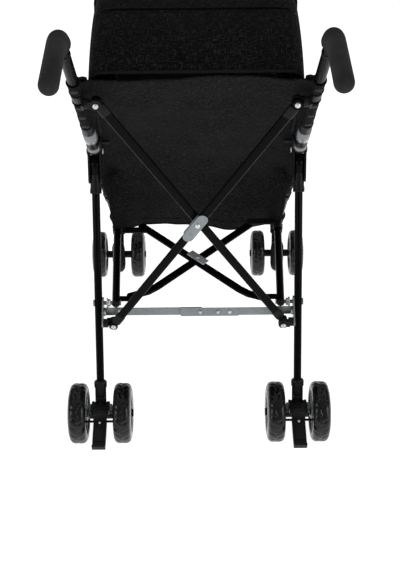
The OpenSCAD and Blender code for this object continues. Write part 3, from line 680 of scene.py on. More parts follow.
class STROLLER_OT_finishes(bpy.types.Operator):
    """Makes every material"""

    bl_idname = "stroller.finishes"
    bl_label = "Finishes"

    def execute(self, context):
        GROUPS.update(weave=weave_group(), wear=wear_group(), grain=grain_group(), scratch=scratch_group())
        c, f, w = settings("cloth"), settings("frame_parts"), settings("wheels")
        # Lighter copy of the zinc for the brace clamp: painted light, standing in for the light that the
        # cabin above shades off it.
        metal_look("zinc_painted_lit", toned(f.zinc, 1.9), toned(f.zinc, 2.5), 0.4)
        cloth_look("heather_cloth", c.dark, c.light, sheen=0.008)
        cloth_look(
            "pad_fleece", (0.07, 0.072, 0.078), (0.15, 0.152, 0.16), threads=1500.0, sheen=0.2, bump=1.0
        )
        cloth_look(
            "binding_tape", (0.008, 0.008, 0.009), (0.02, 0.02, 0.022), threads=4200.0, sheen=0.02, bump=0.7
        )
        mesh_look("door_net", (0.018, 0.018, 0.02))
        paint_look("tube_paint", f.paint, toned(f.paint, 1.8))
        moulded_look("black_plastic", f.plastic, toned(f.plastic, 1.7), 0.42, bump=0.2, dust=0.06)
        moulded_look("zip_plastic", (0.01, 0.01, 0.011), (0.02, 0.02, 0.022), 0.35, bump=0.1)
        # The joints' pale grey tone is painted glare: it stands in for the highlight on glossy dark plastic.
        moulded_look(
            "joint_plastic", f.joint, toned(f.joint, 1.35), 0.28, scale=500.0, bump=0.05, coat=0.4,
            dust=0.05, gloss=0.5
        )
        moulded_look(
            "grip_foam", (0.016, 0.016, 0.017), (0.03, 0.03, 0.032), 0.85, scale=1400.0, bump=0.9,
            distance=0.0006
        )
        moulded_look(
            "tyre_foam", w.foam, toned(w.foam, 1.8), 0.27, scale=500.0, bump=0.2, dust=0.05,
            distance=0.0005, gloss=0.3
        )
        moulded_look("rim_plastic", w.rim, toned(w.rim, 1.3), 0.42, scale=900.0, bump=0.1, gloss=0.4)
        metal_look("zinc_plate", toned(f.zinc, 0.8), f.zinc, 0.3)
        metal_look("bolt_steel", (0.42, 0.43, 0.44), (0.72, 0.74, 0.75), 0.18)
        return {"FINISHED"}


# Finish of the CAD nodes whose names start so; the others are moulded in black
NODE_LOOKS = {
    "tube_paint": (
        "push_tube", "rear_leg", "cross_tube", "seat_tube", "seat_brace", "rear_axle", "front_axle"
    ),
    "grip_foam": ("handle_grip",),
    "zinc_plate": ("leg_bracket", "cross_clamp", "lock_bar"),
    "rim_plastic": ("front_rim", "rear_rim"),
    "tyre_foam": ("front_tyre", "rear_tyre"),
    "heather_cloth": ("carrier_shell", "hood", "floor_mat", "mesh_door"),
}


class STROLLER_OT_frame_nodes(bpy.types.Operator):
    """Gives every CAD node its finish"""

    bl_idname = "stroller.frame_nodes"
    bl_label = "Frame nodes"

    def execute(self, context):
        for name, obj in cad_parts.items():
            chosen = "black_plastic"
            for look, starts in NODE_LOOKS.items():
                if name.startswith(starts):
                    chosen = look
            obj.data.materials.clear()
            obj.data.materials.append(LOOKS[chosen])
        return {"FINISHED"}


# ---------- wheels ----------

HUB_CAP = ((8.4, -3), (13, -3), (13.5, -1), (12.5, 0.6), (8.4, 1.0))


def tyre_mesh(radius, width, inner, lugs, depth):
    """A tyre with raised blocks, centred on the origin, its axle along X."""
    corner, around = width * 0.3, 8 * lugs
    profile = [(inner, -width / 2 + 3), (inner + 4, -width / 2)]
    for side in (-1, 1):
        flat = width / 2 - corner
        turns = np.linspace(0, math.pi / 2, 6)
        arc = [(radius - corner + corner * math.sin(a), side * (flat + corner * math.cos(a))) for a in turns]
        profile += arc if side < 0 else arc[::-1]
        if side < 0:
            profile += [(radius, -flat + 2 * flat * i / 9) for i in range(1, 9)]
    profile += [(inner + 4, width / 2), (inner, width / 2 - 3)]
    verts, faces, uvs = [], [], []
    for i in range(around):
        angle = 2 * math.pi * i / around
        for r, x in profile:
            reach = smooth((r - (radius - corner * 0.75)) / (corner * 0.5))
            phase = (angle * lugs / (2 * math.pi) + (0.0 if x < 0 else 0.5) + abs(x) / width * 0.9) % 1.0
            slot = 1 - smooth(abs(phase - 0.5) / 0.16 - 0.2)
            zigzag = width * 0.05 * math.sin(angle * lugs)
            middle = 1 - smooth(abs(x - zigzag) / (width * 0.05) - 0.2)
            r -= depth * reach * max(slot, middle)
            verts.append(Vector((x, r * math.cos(angle), r * math.sin(angle))) * MM)
            uvs.append((angle * radius * MM, x * MM))
    count = len(profile)
    for i in range(around):
        for j in range(count):
            a, b = i * count + j, i * count + (j + 1) % count
            c, d = (i + 1) % around * count + (j + 1) % count, (i + 1) % around * count + j
            faces.append((a, b, c, d))
    return verts, faces, uvs


class STROLLER_OT_wheels(bpy.types.Operator):
    """Builds the treaded tyres, rim rings and hub caps"""

    bl_idname = "stroller.wheels"
    bl_label = "Wheels"

    def execute(self, context):
        for end, band in (("front", 18), ("rear", 19)):
            self.wheel_set(end, band)
        return {"FINISHED"}

    def wheel_set(self, end, band):
        """Four like wheels: one tyre mesh for all, band is its thickness in millimetres."""
        w = settings("wheels")
        low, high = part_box(f"{end}_tyre_left_outer")
        size = (high - low) / MM
        radius, width = size.y / 2, size.x
        inner, face = radius - band, width / 2
        verts, faces, uvs = tyre_mesh(radius, width, inner, w.lugs, w.tread / MM)
        ring = [(-3, -2), (5.5, -2), (6.5, 0.4), (5.5, 1.3), (-1, 1.6), (-3, 0.4)]
        ring = [(inner + r, face + h) for r, h in ring]
        cap = [(r, face + h) for r, h in HUB_CAP]
        shared = None
        for side, sign in SIDES:
            for place, away in (("outer", sign), ("inner", -sign)):
                tag = f"{side}_{place}"
                low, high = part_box(f"{end}_tyre_{tag}")
                centre, body = (low + high) / 2, f"{end}_wheel_{tag}"
                if shared is None:
                    obj = piece(f"{end}_tread_{tag}", verts, faces, "tyre_foam", None, uvs)
                    shared = obj.data
                else:
                    obj = bpy.data.objects.new(f"{end}_tread_{tag}", shared)
                    bpy.context.scene.collection.objects.link(obj)
                obj.location = centre
                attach(obj, body)
                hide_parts(f"{end}_tyre_{tag}")
                turned(f"{end}_rim_ring_{tag}", ring, centre, (away, 0, 0), "rim_plastic", body, 64)
                turned(f"{end}_hub_cap_{tag}", cap, centre, (away, 0, 0), "black_plastic", body, 40)


# ---------- fittings ----------

# Turned profiles as (radius, height) in millimetres
LEG_COLLAR = ((8.2, -4), (11.4, -4), (11.8, -2), (11.4, 2), (8.2, 2))
# The lower and upper shells are pale grey: painted glare on glossy dark plastic.
HINGE_SHELLS = (
    ("lip", "black_plastic", ((9.7, 15), (13.8, 15), (13.8, 20), (9.7, 20))),
    ("lower", "joint_plastic", ((9.7, 20), (12.8, 20), (13.2, 22), (13.2, 38), (9.7, 38))),
    ("upper", "joint_plastic", ((9.7, 70), (12.8, 70), (13.2, 73), (12.8, 118), (9.7, 118))),
    ("boot", "black_plastic", ((9.7, 118), (12.4, 118), (12.0, 148), (11.0, 152), (9.7, 152))),
)
STAR_NUT = ((4.1, -4), (8.6, -4), (9.2, -2), (7.0, 0), (6.6, 3.6), (5.2, 4.4), (4.1, 4.4))
BRACKET_NUT = ((0, 0), (6.2, 0), (6.2, 4), (5.4, 4.8), (0, 4.8))
TUBE_HEEL = ((0, -2.4), (5.6, -2.2), (7.9, 0), (8.3, 1.5), (8.3, 3.2), (0, 3.2))
FOOT_BOLT = ((0, -0.5), (4.6, -0.5), (4.6, 3), (3.6, 4), (0, 4))
AXLE_BUMP = ((0, 0), (6.5, 0), (6.5, 1.5), (4, 3.2), (0, 3.8))
AXLE_NUT = ((0, 0), (7.4, 0), (7.4, 5.2), (4.2, 5.8), (4.2, 8.6), (0, 9))
AXLE_WASHER = ((5.2, 0), (11.5, 0), (11.5, 1.2), (5.2, 1.2))
SLEEVE_RIM = ((8.4, -6), (13.2, -6), (13.4, -4), (12.8, 0), (11.4, 2), (8.4, 2))
CASTOR_COVER = ((0, 24), (11, 24), (14.5, 30), (16.4, 44), (16.8, 70), (16.2, 92), (13.5, 102), (0, 104))
CASTOR_CAP = ((0, 0), (14.4, 0), (14.6, 2), (12.5, 6), (8, 8), (0, 8.8))
CASTOR_WASHER = ((9.2, 0), (12.6, 0), (12.6, 1.6), (9.2, 1.6))
GRIP_COLLAR = ((9.7, -9), (12.6, -9), (14.6, -6), (15.4, -1), (15.4, 3), (13.5, 5), (9.7, 5))
TUBE_BAND = ((9.6, -2), (10.4, -1.6), (10.4, 1.6), (9.6, 2))

# Places on the left or right half, in millimetres
KNUCKLE_X = 172
KNUCKLE_LOW, KNUCKLE_HIGH = (64, 247), (10, 750)
BRACE_SLOPE = math.radians(45.6)
BRACE_MID, BRACE_KNEE, BRACE_REACH = 131.0, 97, 169.4
BRACE_FOOT = (142, 14)
LEG_LENGTH = 541
PEDAL_SLOPE = math.atan2(19.5, 57.5)


def cross_point(turn, share, rear):
    """A point on a cross tube: share from -1 to 1 up the tube, rear in millimetres behind its plane."""
    along = share * CROSS_HALF
    x = turn * along * math.sin(CROSS_TURN)
    rise = along * math.cos(CROSS_TURN)
    y = CROSS_MID[0] - rise * math.sin(CROSS_LEAN) - rear * math.cos(CROSS_LEAN)
    z = CROSS_MID[1] + rise * math.cos(CROSS_LEAN) - rear * math.sin(CROSS_LEAN)
    return at(x, y, z)


def rear_normal():
    """Square to the plane of the cross tubes, pointing back."""
    return Vector((0, -math.cos(CROSS_LEAN), -math.sin(CROSS_LEAN)))


def seat_point(x, along, off=0.0):
    """A place by the seat rails: along from their pins, off above them."""
    y = SEAT_PIN[0] + along * math.cos(SEAT_RISE) - off * math.sin(SEAT_RISE)
    z = SEAT_PIN[1] + along * math.sin(SEAT_RISE) + off * math.cos(SEAT_RISE)
    return at(x, y, z)


def rail(sign, along, off=0.0):
    """A point on a seat tube."""
    return seat_point(sign * (SEAT_X + along * SEAT_SPLAY), along, off)


def beside_push(x, along, ahead=0.0):
    """Millimetres in the side plane: along up a push tube from the hinge, ahead square to it."""
    return (x, HINGE[0] + (ahead - along) * SLANT, HINGE[1] + (ahead + along) * SLANT)


def push_point(sign, along, ahead=0.0):
    """A point on a push tube, along from its hinge."""
    return at(*beside_push(sign * HALF_TRACK, along, ahead))


def leg_point(sign, down, x=0.0):
    """A point on a rear leg, down in millimetres below the hinge."""
    return at(
        sign * (HALF_TRACK + x), HINGE[0] - down * math.sin(LEG_LEAN), HINGE[1] - down * math.cos(LEG_LEAN)
    )


class STROLLER_OT_fittings(bpy.types.Operator):
    """Builds the rivets, nuts, tube ends, collars and caps on the frame"""

    bl_idname = "stroller.fittings"
    bl_label = "Frame fittings"

    def execute(self, context):
        self.cross_ends()
        for side, sign in SIDES:
            self.knuckle_rivets(side, sign)
            self.leg_parts(side, sign)
            self.hinge_parts(side, sign)
            self.seat_parts(side, sign)
            self.axle_parts(side, sign)
            self.pedal_parts(side, sign)
            self.castor_parts(side, sign)
        self.clamp_rivets()
        self.bar_rivets()
        self.braces()
        return {"FINISHED"}

    def cross_ends(self):
        """Plastic end caps of the flat-oval cross tubes."""
        back = rear_normal()
        for turn, tag, layer in ((1, "rear", 6.0), (-1, "front", -6.0)):
            along = (cross_point(turn, 1, 0) - cross_point(turn, -1, 0)).normalized()
            square = Matrix((along.cross(back), back, along)).transposed()
            for share, end in ((-0.935, "low"), (0.935, "high")):
                centre = cross_point(turn, share, layer)
                name = f"cross_end_{tag}_{end}"
                block(name, centre, (18.6, 11.2, 26), square, "black_plastic", "cross_" + tag, 4.4, 4)

    def knuckle_rivets(self, side, sign):
        """Rivets that hold the cross tubes to the knuckles."""
        back = rear_normal()
        low = at(sign * KNUCKLE_X, *KNUCKLE_LOW) + back * 0.0128
        dome(f"low_rivet_{side}", low, back, 5.4, 3.4, "bolt_steel", "low_knuckle_" + side)
        body, proud = ("high_knuckle_left", 0.0106) if sign < 0 else ("cross_rear", 0.0126)
        high = at(sign * KNUCKLE_X, *KNUCKLE_HIGH) + back * proud
        dome(f"high_rivet_{side}", high, back, 5.2, 3.2, "bolt_steel", body)

    def clamp_rivets(self):
        """Centre rivet and studs of the cross tubes' clamp."""
        back = rear_normal()
        dome("clamp_rivet", cross_point(1, 0, 13.4), back, 5.2, 3.0, "bolt_steel", "cross_rear")
        for tag, share in (("a", -0.078), ("b", 0.0)):
            spot = cross_point(1, share, 12.6)
            dome(f"clamp_stud_{tag}", spot, back, 2.2, 1.4, "zinc_plate", "cross_rear", 16)

    def bar_rivets(self):
        """Rivets of the folding lock bar."""
        ahead = lean(-BAR_LEAN) @ Vector((0, -1, 0))
        for x, side, proud in ((-160, "left", -0.0008), (160, "right", 0.00192)):
            spot = at(x, *BAR) + ahead * proud
            dome(f"bar_rivet_{side}", spot, ahead, 4.4, 2.6, "bolt_steel", "lock_" + side, 20)
        for x, tag in ((4, "centre"), (40, "near"), (64, "far")):
            spot = at(x, *BAR) + ahead * 0.0046
            dome(f"channel_rivet_{tag}", spot, ahead, 4.0, 2.2, "bolt_steel", "lock_right", 20)

    def braces(self):
        """Oval seat braces, cranked at their rear ends, and the zinc clamp where they cross."""
        normal = seat_point(0, 0, 1) - seat_point(0, 0, 0)
        for turn, layer, tag in ((1, -4.3, "lower"), (-1, 4.3, "upper")):
            foot = (turn * BRACE_FOOT[0], BRACE_FOOT[1])
            knee = (turn * BRACE_KNEE, BRACE_MID - BRACE_KNEE * math.tan(BRACE_SLOPE))
            tip = (
                -turn * (BRACE_REACH * math.cos(BRACE_SLOPE) + 8),
                BRACE_MID + BRACE_REACH * math.sin(BRACE_SLOPE) + 8 * math.tan(BRACE_SLOPE),
            )
            crank = mix(foot, knee, 0.85)
            straight = [mix(knee, tip, t) for t in (0.05, 0.35, 0.65, 1)]
            plan = [foot, crank] + [mix(crank, straight[0], t) for t in (0.35, 0.7)] + straight
            points = [seat_point(x, y, layer) for x, y in plan]
            name, body = f"seat_brace_{tag}", f"brace_{tag}"
            obj = rounded_bar(f"{name}_tube", points, normal, 18.4, 8.4, "tube_paint", body)
            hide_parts(name)
        up = normal.normalized()
        along = (seat_point(-math.cos(BRACE_SLOPE), math.sin(BRACE_SLOPE)) - seat_point(0, 0)).normalized()
        square = Matrix((along.cross(up), along, up)).transposed()
        middle = seat_point(0, BRACE_MID, 9.4)
        # The clamp wears the lighter copy of the zinc: painted light in place of the shade cast by the cabin
        # above it.
        block("brace_clamp", middle, (18, 50, 1.8), square, "zinc_painted_lit", "brace_upper", 0.8, 2)
        dome("brace_clamp_rivet", middle + up * 0.0012, up, 5.0, 2.6, "bolt_steel", "brace_upper")

    def leg_parts(self, side, sign):
        """Collar, fork wall and rivet heads at the top of a leg."""
        leg = "leg_" + side
        axis = (leg_point(sign, 0) - leg_point(sign, 100)).normalized()
        turned(f"leg_collar_{side}", LEG_COLLAR, leg_point(sign, 81), axis, "black_plastic", leg, 40)
        self.leg_channel(side, sign, axis)
        for face, tag in ((-1, "in"), (1, "out")):
            spot = leg_point(sign, 0, face * 15.2)
            dome(f"joint_rivet_{side}_{tag}", spot, (sign * face, 0, 0), 6.6, 2.6, "bolt_steel", leg)

    def leg_channel(self, side, sign, axis):
        """Rear wall of the fork at a leg's top, open to the front: the push tube folds into it."""
        wide = Vector((1, 0, 0))
        behind = wide.cross(axis)
        behind *= -1 if behind.y > 0 else 1
        verts, uvs, faces, count = [], [], [], 18
        for down in (8, 47):
            for radius in (10.5, 12.2):
                for k in range(count + 1):
                    a = math.radians(-95 + 190 * k / count)
                    out = wide * math.sin(a) + behind * math.cos(a)
                    verts.append(leg_point(sign, down) + out * radius * MM)
                    uvs.append((k * 0.002, down * MM))
        n = count + 1
        for k in range(count):
            for a, b in ((0, n), (n, 3 * n), (3 * n, 2 * n), (2 * n, 0)):
                faces.append((a + k, a + k + 1, b + k + 1, b + k))
        faces += [(0, n, 3 * n, 2 * n), (count, 2 * n + count, 3 * n + count, n + count)]
        piece(f"leg_channel_{side}", verts, faces, "tube_paint", "leg_" + side, uvs)

    def hinge_parts(self, side, sign):
        """Glossy housing, its pale grey a painted glare, with its black lip and boot, on the push tube above
        the hinge.
        """
        up = (push_point(sign, 100) - push_point(sign, 0)).normalized()
        for tag, look, profile in HINGE_SHELLS:
            turned(f"hinge_{tag}_{side}", profile, push_point(sign, 0), up, look, "side_" + side, 40)

    def seat_parts(self, side, sign):
        """Pins, nuts and end plug where a seat tube meets its leg."""
        leg, seat = "leg_" + side, "seat_" + side
        pin = at(sign * 183, *SEAT_PIN)
        star = lambda a: 1 + 0.13 * math.cos(12 * a)
        turned(f"seat_pin_nut_{side}", STAR_NUT, pin, (-sign, 0, 0), "bolt_steel", leg, 48, star)
        bracket = at(sign * 193, 78, 262)
        turned(f"bracket_nut_{side}", BRACKET_NUT, bracket, (-sign, 0, 0), "bolt_steel", leg, 6)
        heel = rail(sign, -5.4)
        ahead = rail(sign, 100) - heel
        turned(f"seat_tube_heel_{side}", TUBE_HEEL, heel, ahead, "black_plastic", seat, 32)
        bolt = rail(sign, 15, -8.2)
        below = rail(sign, 15, -20) - bolt
        turned(f"seat_foot_bolt_{side}", FOOT_BOLT, bolt, below, "black_plastic", seat, 6)

    def axle_parts(self, side, sign):
        """Block, nuts and washers at a rear axle."""
        leg, middle = "leg_" + side, sign * HALF_TRACK
        lip, bump, core = at(middle, 3, 101), at(middle, -1.6, 85), at(middle, -9, 74)
        block(f"axle_lip_{side}", lip, (19, 13, 3), lean(-LEG_LEAN), "black_plastic", leg, 1.0)
        turned(f"axle_bump_{side}", AXLE_BUMP, bump, (0, -0.9, 0.42), "black_plastic", leg, 24)
        block(f"axle_block_{side}", core, (35, 20, 27), lean(0.3), "black_plastic", leg, 4, 4)
        for face, tag in ((-1, "inner"), (1, "outer")):
            out = (face, 0, 0)
            for rise, name in ((82, "high"), (68, "low")):
                nut = at(middle + face * 18.4, -4, rise)
                turned(f"axle_nut_{name}_{side}_{tag}", AXLE_NUT, nut, out, "zinc_plate", leg, 6)
            hub = at(middle + face * 24.4, 0, 62.5)
            turned(f"axle_washer_{side}_{tag}", AXLE_WASHER, hub, out, "bolt_steel", leg)
            pin = at(middle + face * 18.2, -24, 84)
            dome(f"pedal_pin_{side}_{tag}", pin, out, 4.6, 2.2, "bolt_steel", leg, 20)
        axis = (leg_point(sign, 0) - leg_point(sign, 100)).normalized()
        top = leg_point(sign, LEG_LENGTH - 68)
        turned(f"axle_sleeve_rim_{side}", SLEEVE_RIM, top, axis, "black_plastic", leg, 36)

    def pedal_parts(self, side, sign):
        """Lip, tread, ribs and rivet of a brake pedal."""
        brake, middle = "brake_" + side, sign * HALF_TRACK
        face = lean(PEDAL_SLOPE)
        lip, tread = at(middle, -88.2, 49), at(middle, -59, 57.6)
        block(f"pedal_lip_{side}", lip, (27.4, 3.4, 8), lean(0.4), "black_plastic", brake, 1.2)
        block(f"pedal_tread_{side}", tread, (19, 34, 3), face, "black_plastic", brake, 1.2)
        for i in range(4):
            rib = at(middle, -49 - i * 7, 60.6 - i * 2.4)
            block(f"pedal_rib_{side}_{i}", rib, (15, 2.2, 2.2), face, "black_plastic", brake, 0.7, 2)
        rivet = at(middle, -36, 67.8)
        dome(f"pedal_rivet_{side}", rivet, face @ Vector((0, 0, 1)), 3.0, 2.0, "bolt_steel", brake, 18)

    def castor_parts(self, side, sign):
        """Cover, cap and washers of a castor."""
        castor, middle, up = "castor_" + side, sign * HALF_TRACK, (0, 0, 1)
        stem, cap = at(middle, 606, 0), at(middle, 653, 161.6)
        turned(f"castor_cover_{side}", CASTOR_COVER, stem, up, "black_plastic", castor, 40)
        turned(f"castor_cap_{side}", CASTOR_CAP, cap, up, "black_plastic", "side_" + side, 36)
        for face, tag in ((-1, "inner"), (1, "outer")):
            hub = at(middle + face * 12.2, 627, 59)
            turned(f"castor_washer_{side}_{tag}", CASTOR_WASHER, hub, (face, 0, 0), "bolt_steel", castor)


class STROLLER_OT_handles(bpy.types.Operator):
    """Builds the collars of the handle grips and the bands on the push tubes below them"""

    bl_idname = "stroller.handles"
    bl_label = "Handles"

    def execute(self, context):
        for side, sign in SIDES:
            body = "side_" + side
            axis = (push_point(sign, 500) - push_point(sign, 400)).normalized()
            turned(f"grip_collar_{side}", GRIP_COLLAR, push_point(sign, 500), axis, "black_plastic", body, 40)
            for i, along in enumerate((482, 462)):
                band = push_point(sign, along)
                turned(f"tube_band_{side}_{i}", TUBE_BAND, band, axis, "black_plastic", body, 36)
        return {"FINISHED"}


# ---------- cloth ----------


def folds(x, s, depth):
    """Soft folds of sewn cloth, from a few slow waves across and along it."""
    return depth * (
        math.sin(x * 0.023 + s * 0.016) * 0.7
        + math.sin(x * 0.014 - s * 0.019 + 1.3) * 0.8
        + math.sin(x * 0.071 + s * 0.043 + 0.4) * 0.18
        + math.sin(s * 0.085 - x * 0.012 + 2.1) * 0.15
    )


# Outline of the back panel from its middle outwards, as (sideways, back) in millimetres
FLAT_EDGE = ((0, 0), (172, 0), (184, 0.5), (193, 4))
WRAPPED_EDGE = (
    (0, 0), (174, 0), (185, 1.5), (191, 6.5), (194.5, 12.9), (198.5, 16.9), (204, 18.4), (207.5, 17.9)
)
# Where the back panel turns towards the pouch: share of its run, height, and reach of the bend
WAIST, WAIST_RISE, BEND = 0.62, 458, 0.26

# Inner edge of the webs that join the sleeves to the side panels
WEB_X = 181.5
SNAP_RING = ((4.6, -0.4), (6.4, -0.4), (6.4, 0.5), (4.6, 0.9))
HOOD_BOSS = ((4.3, -2.6), (15.5, -2.6), (16, -1), (14, 1.4), (9, 2.6), (4.3, 2.6))

# How far from its pivot the hood's cloth begins, and the round corners of its cloth and bows
HOOD_EYE, HOOD_CORNER, BOW_CORNER = 26.0, 30, 28
ZIP_INSET = 0.925


def bump_at(x, centre, width):
    """A smooth hump, 1 at its centre."""
    return math.exp(-(((x - centre) / width) ** 2))


def back_surface(u, v):
    """Back of the cabin: it laps over the push tubes, then hangs to the seat rails and the pouch."""
    c = settings("cloth")
    side = 1 if u >= 0.5 else -1
    share = abs(2 * u - 1)
    below = smooth((v - WAIST) / 0.2)
    lap = smooth((v - 0.41) / 0.07)
    x, back = mix(on_path(FLAT_EDGE, share), on_path(WRAPPED_EDGE, share), lap)
    back *= 1 - smooth((v - WAIST) / 0.15)
    x *= side * (1 - 0.084 * below * share - 0.02 * smooth((v - 0.8) / 0.2) * share)
    corner = smooth((abs(x) - 118) / 60)
    corner_low = (337, 304) if side < 0 else (352, 314)
    low = mix((424, 266 - 5 * bump_at(x, 85, 45)), corner_low, corner)
    waist = (BACK_SUM - WAIST_RISE, WAIST_RISE)

    def run(v):
        if v < WAIST:
            return mix((BACK_SUM - BACK_TOP, BACK_TOP), waist, v / WAIST)
        t = (v - WAIST) / (1 - WAIST)
        y, z = mix(waist, low, t)
        return (y - 14 * math.sin(math.pi * t) * corner, z)

    y, z = run(v)
    if abs(v - WAIST) < BEND:
        t = (v - WAIST + BEND) / (2 * BEND)
        bent = mix(mix(run(WAIST - BEND), waist, t), mix(waist, run(WAIST + BEND), t), t)
        y, z = mix((y, z), bent, 1 - smooth((share - 0.6) / 0.3))
    edge = 1 - share ** 6
    lift = folds(x, v * 560, c.fold / MM) * edge
    lift += c.sag / MM * edge * math.sin(math.pi * min(1, v * 1.1)) * 0.8
    near_hem = smooth((v - 0.84) / 0.16)
    lift -= near_hem * (2.5 * bump_at(x, -50, 18) + 2.5 * bump_at(x, 62, 24)) * edge
    return (x, y + (lift - back) * SLANT, z + (lift - back) * SLANT)


def pouch_surface(u, v):
    """Floor and sides of the pouch, slung from one seat rail to the other."""
    c = settings("cloth")
    y, z_floor = mix((421, 280), (652, 318), v)
    along = (y - SEAT_PIN[0]) / math.cos(SEAT_RISE)
    z_rail = SEAT_PIN[1] + along * math.sin(SEAT_RISE) + 1
    x_rail = SEAT_X + along * SEAT_SPLAY - 9.2
    lower = smooth((along - 345) / 45) * 8
    a = (2 * u - 1) * math.pi / 2
    sx, cz = math.sin(a), math.cos(a)
    x = x_rail * math.copysign(abs(sx) ** 0.55, sx)
    x = max(-x_rail, min(x_rail, x))
    drop = cz ** 0.4 if cz > 1e-6 else 0
    z = z_rail - lower + (z_floor - (z_rail - lower)) * drop
    ripple = folds(x, y, c.fold / MM * 0.8) * drop
    return (x, y, z + ripple + 2.0)


def front_surface(u, v):
    """Front of the pouch, up to the lip that the door hangs on."""
    x_unit = 2 * u - 1
    half = 146 + 36 * smooth(v * 1.2)
    x = x_unit * half
    y, z = on_path([(652, 319), (661, 362), (LIP[0] - 2, LIP[1] - 1)], v)
    belly = 5 * math.sin(math.pi * v) * (1 - x_unit ** 4)
    round_in = 10 * smooth((abs(x_unit) - 0.86) / 0.14)
    return (x, y + belly - round_in, z)


def side_surface(sign):
    """Side panel, from the top edge down to the pouch, with u forward."""
    top_rear, top_front = (199, 597), (467, 663)
    front_low, keel_front, keel_rear = (666, 412), (656, 364), (455, 338)

    def surface(u, v):
        c = settings("cloth")
        top = mix(top_rear, top_front, u)
        low = on_path([keel_rear, keel_front, front_low], u)
        y, z = mix(top, low, v)
        inside = math.sin(math.pi * u) * math.sin(math.pi * v)
        bulge = -c.sag / MM * inside * 0.8 + folds(y, z, c.fold / MM * 0.9) * inside
        return (sign * (182 + bulge * 0.6), y, z)

    return surface


def hood_surface(radius, half, corner, a0, a1, dip):
    """One gore of the hood: up one side, over the top and down the other, between two angles."""
    side_run = radius - corner - HOOD_EYE
    arc_run = corner * math.pi / 2
    top_run = 2 * (half - corner)
    total = 2 * side_run + 2 * arc_run + top_run

    def surface(u, v):
        s = u * total
        if s > total / 2:
            mirrored, s = 1, total - s
        else:
            mirrored = -1
        if s < side_run:
            r, x = HOOD_EYE + s, half
        elif s < side_run + arc_run:
            a = (s - side_run) / corner
            r, x = radius - corner + corner * math.sin(a), half - corner + corner * math.cos(a)
        else:
            r, x = radius, half - corner - (s - side_run - arc_run)
        angle = math.radians(a0 + (a1 - a0) * v)
        slack = dip * math.sin(math.pi * v) * smooth((r - 90) / 160)
        crease = 1.1 * math.sin(angle * 9 + x * 0.02) * math.sin(math.pi * v) * smooth((r - 60) / 100)
        r -= slack
        x += (slack * 0.25 + crease) * (0 if s > side_run else -1)
        r -= crease * 0.5
        y, z = HOOD_PIVOT[0] + r * math.cos(angle), HOOD_PIVOT[1] + r * math.sin(angle)
        return (mirrored * x, y, z)

    return surface


def hood_edge(radius, half, corner, angle, steps=42):
    """Points in metres along one edge of a gore."""
    edge = hood_surface(radius, half, corner, angle, angle, 0)
    return [at(*edge(i / steps, 0)) for i in range(1, steps)]


def strip(name, points, across, width, thick, look, body):
    """A flat strip along points in metres; across(i) is its width direction."""
    verts, faces, uvs, run = [], [], [], 0.0
    count = len(points)
    for i, p in enumerate(points):
        ahead = (points[min(count - 1, i + 1)] - points[max(0, i - 1)]).normalized()
        wide = across(i).normalized()
        up = ahead.cross(wide).normalized()
        run += (p - points[i - 1]).length if i else 0
        for a, b in ((-0.5, -0.5), (0.5, -0.5), (0.5, 0.5), (-0.5, 0.5)):
            verts.append(p + wide * a * width * MM + up * b * thick * MM)
            uvs.append(((a + b * 0.1) * width * MM, run))
    for i in range(count - 1):
        for k in range(4):
            a, b = i * 4 + k, i * 4 + (k + 1) % 4
            faces.append((a, b, b + 4, a + 4))
    faces += [(3, 2, 1, 0), tuple(range(count * 4 - 4, count * 4))]
    return piece(name, verts, faces, look, body, uvs, flat=True)


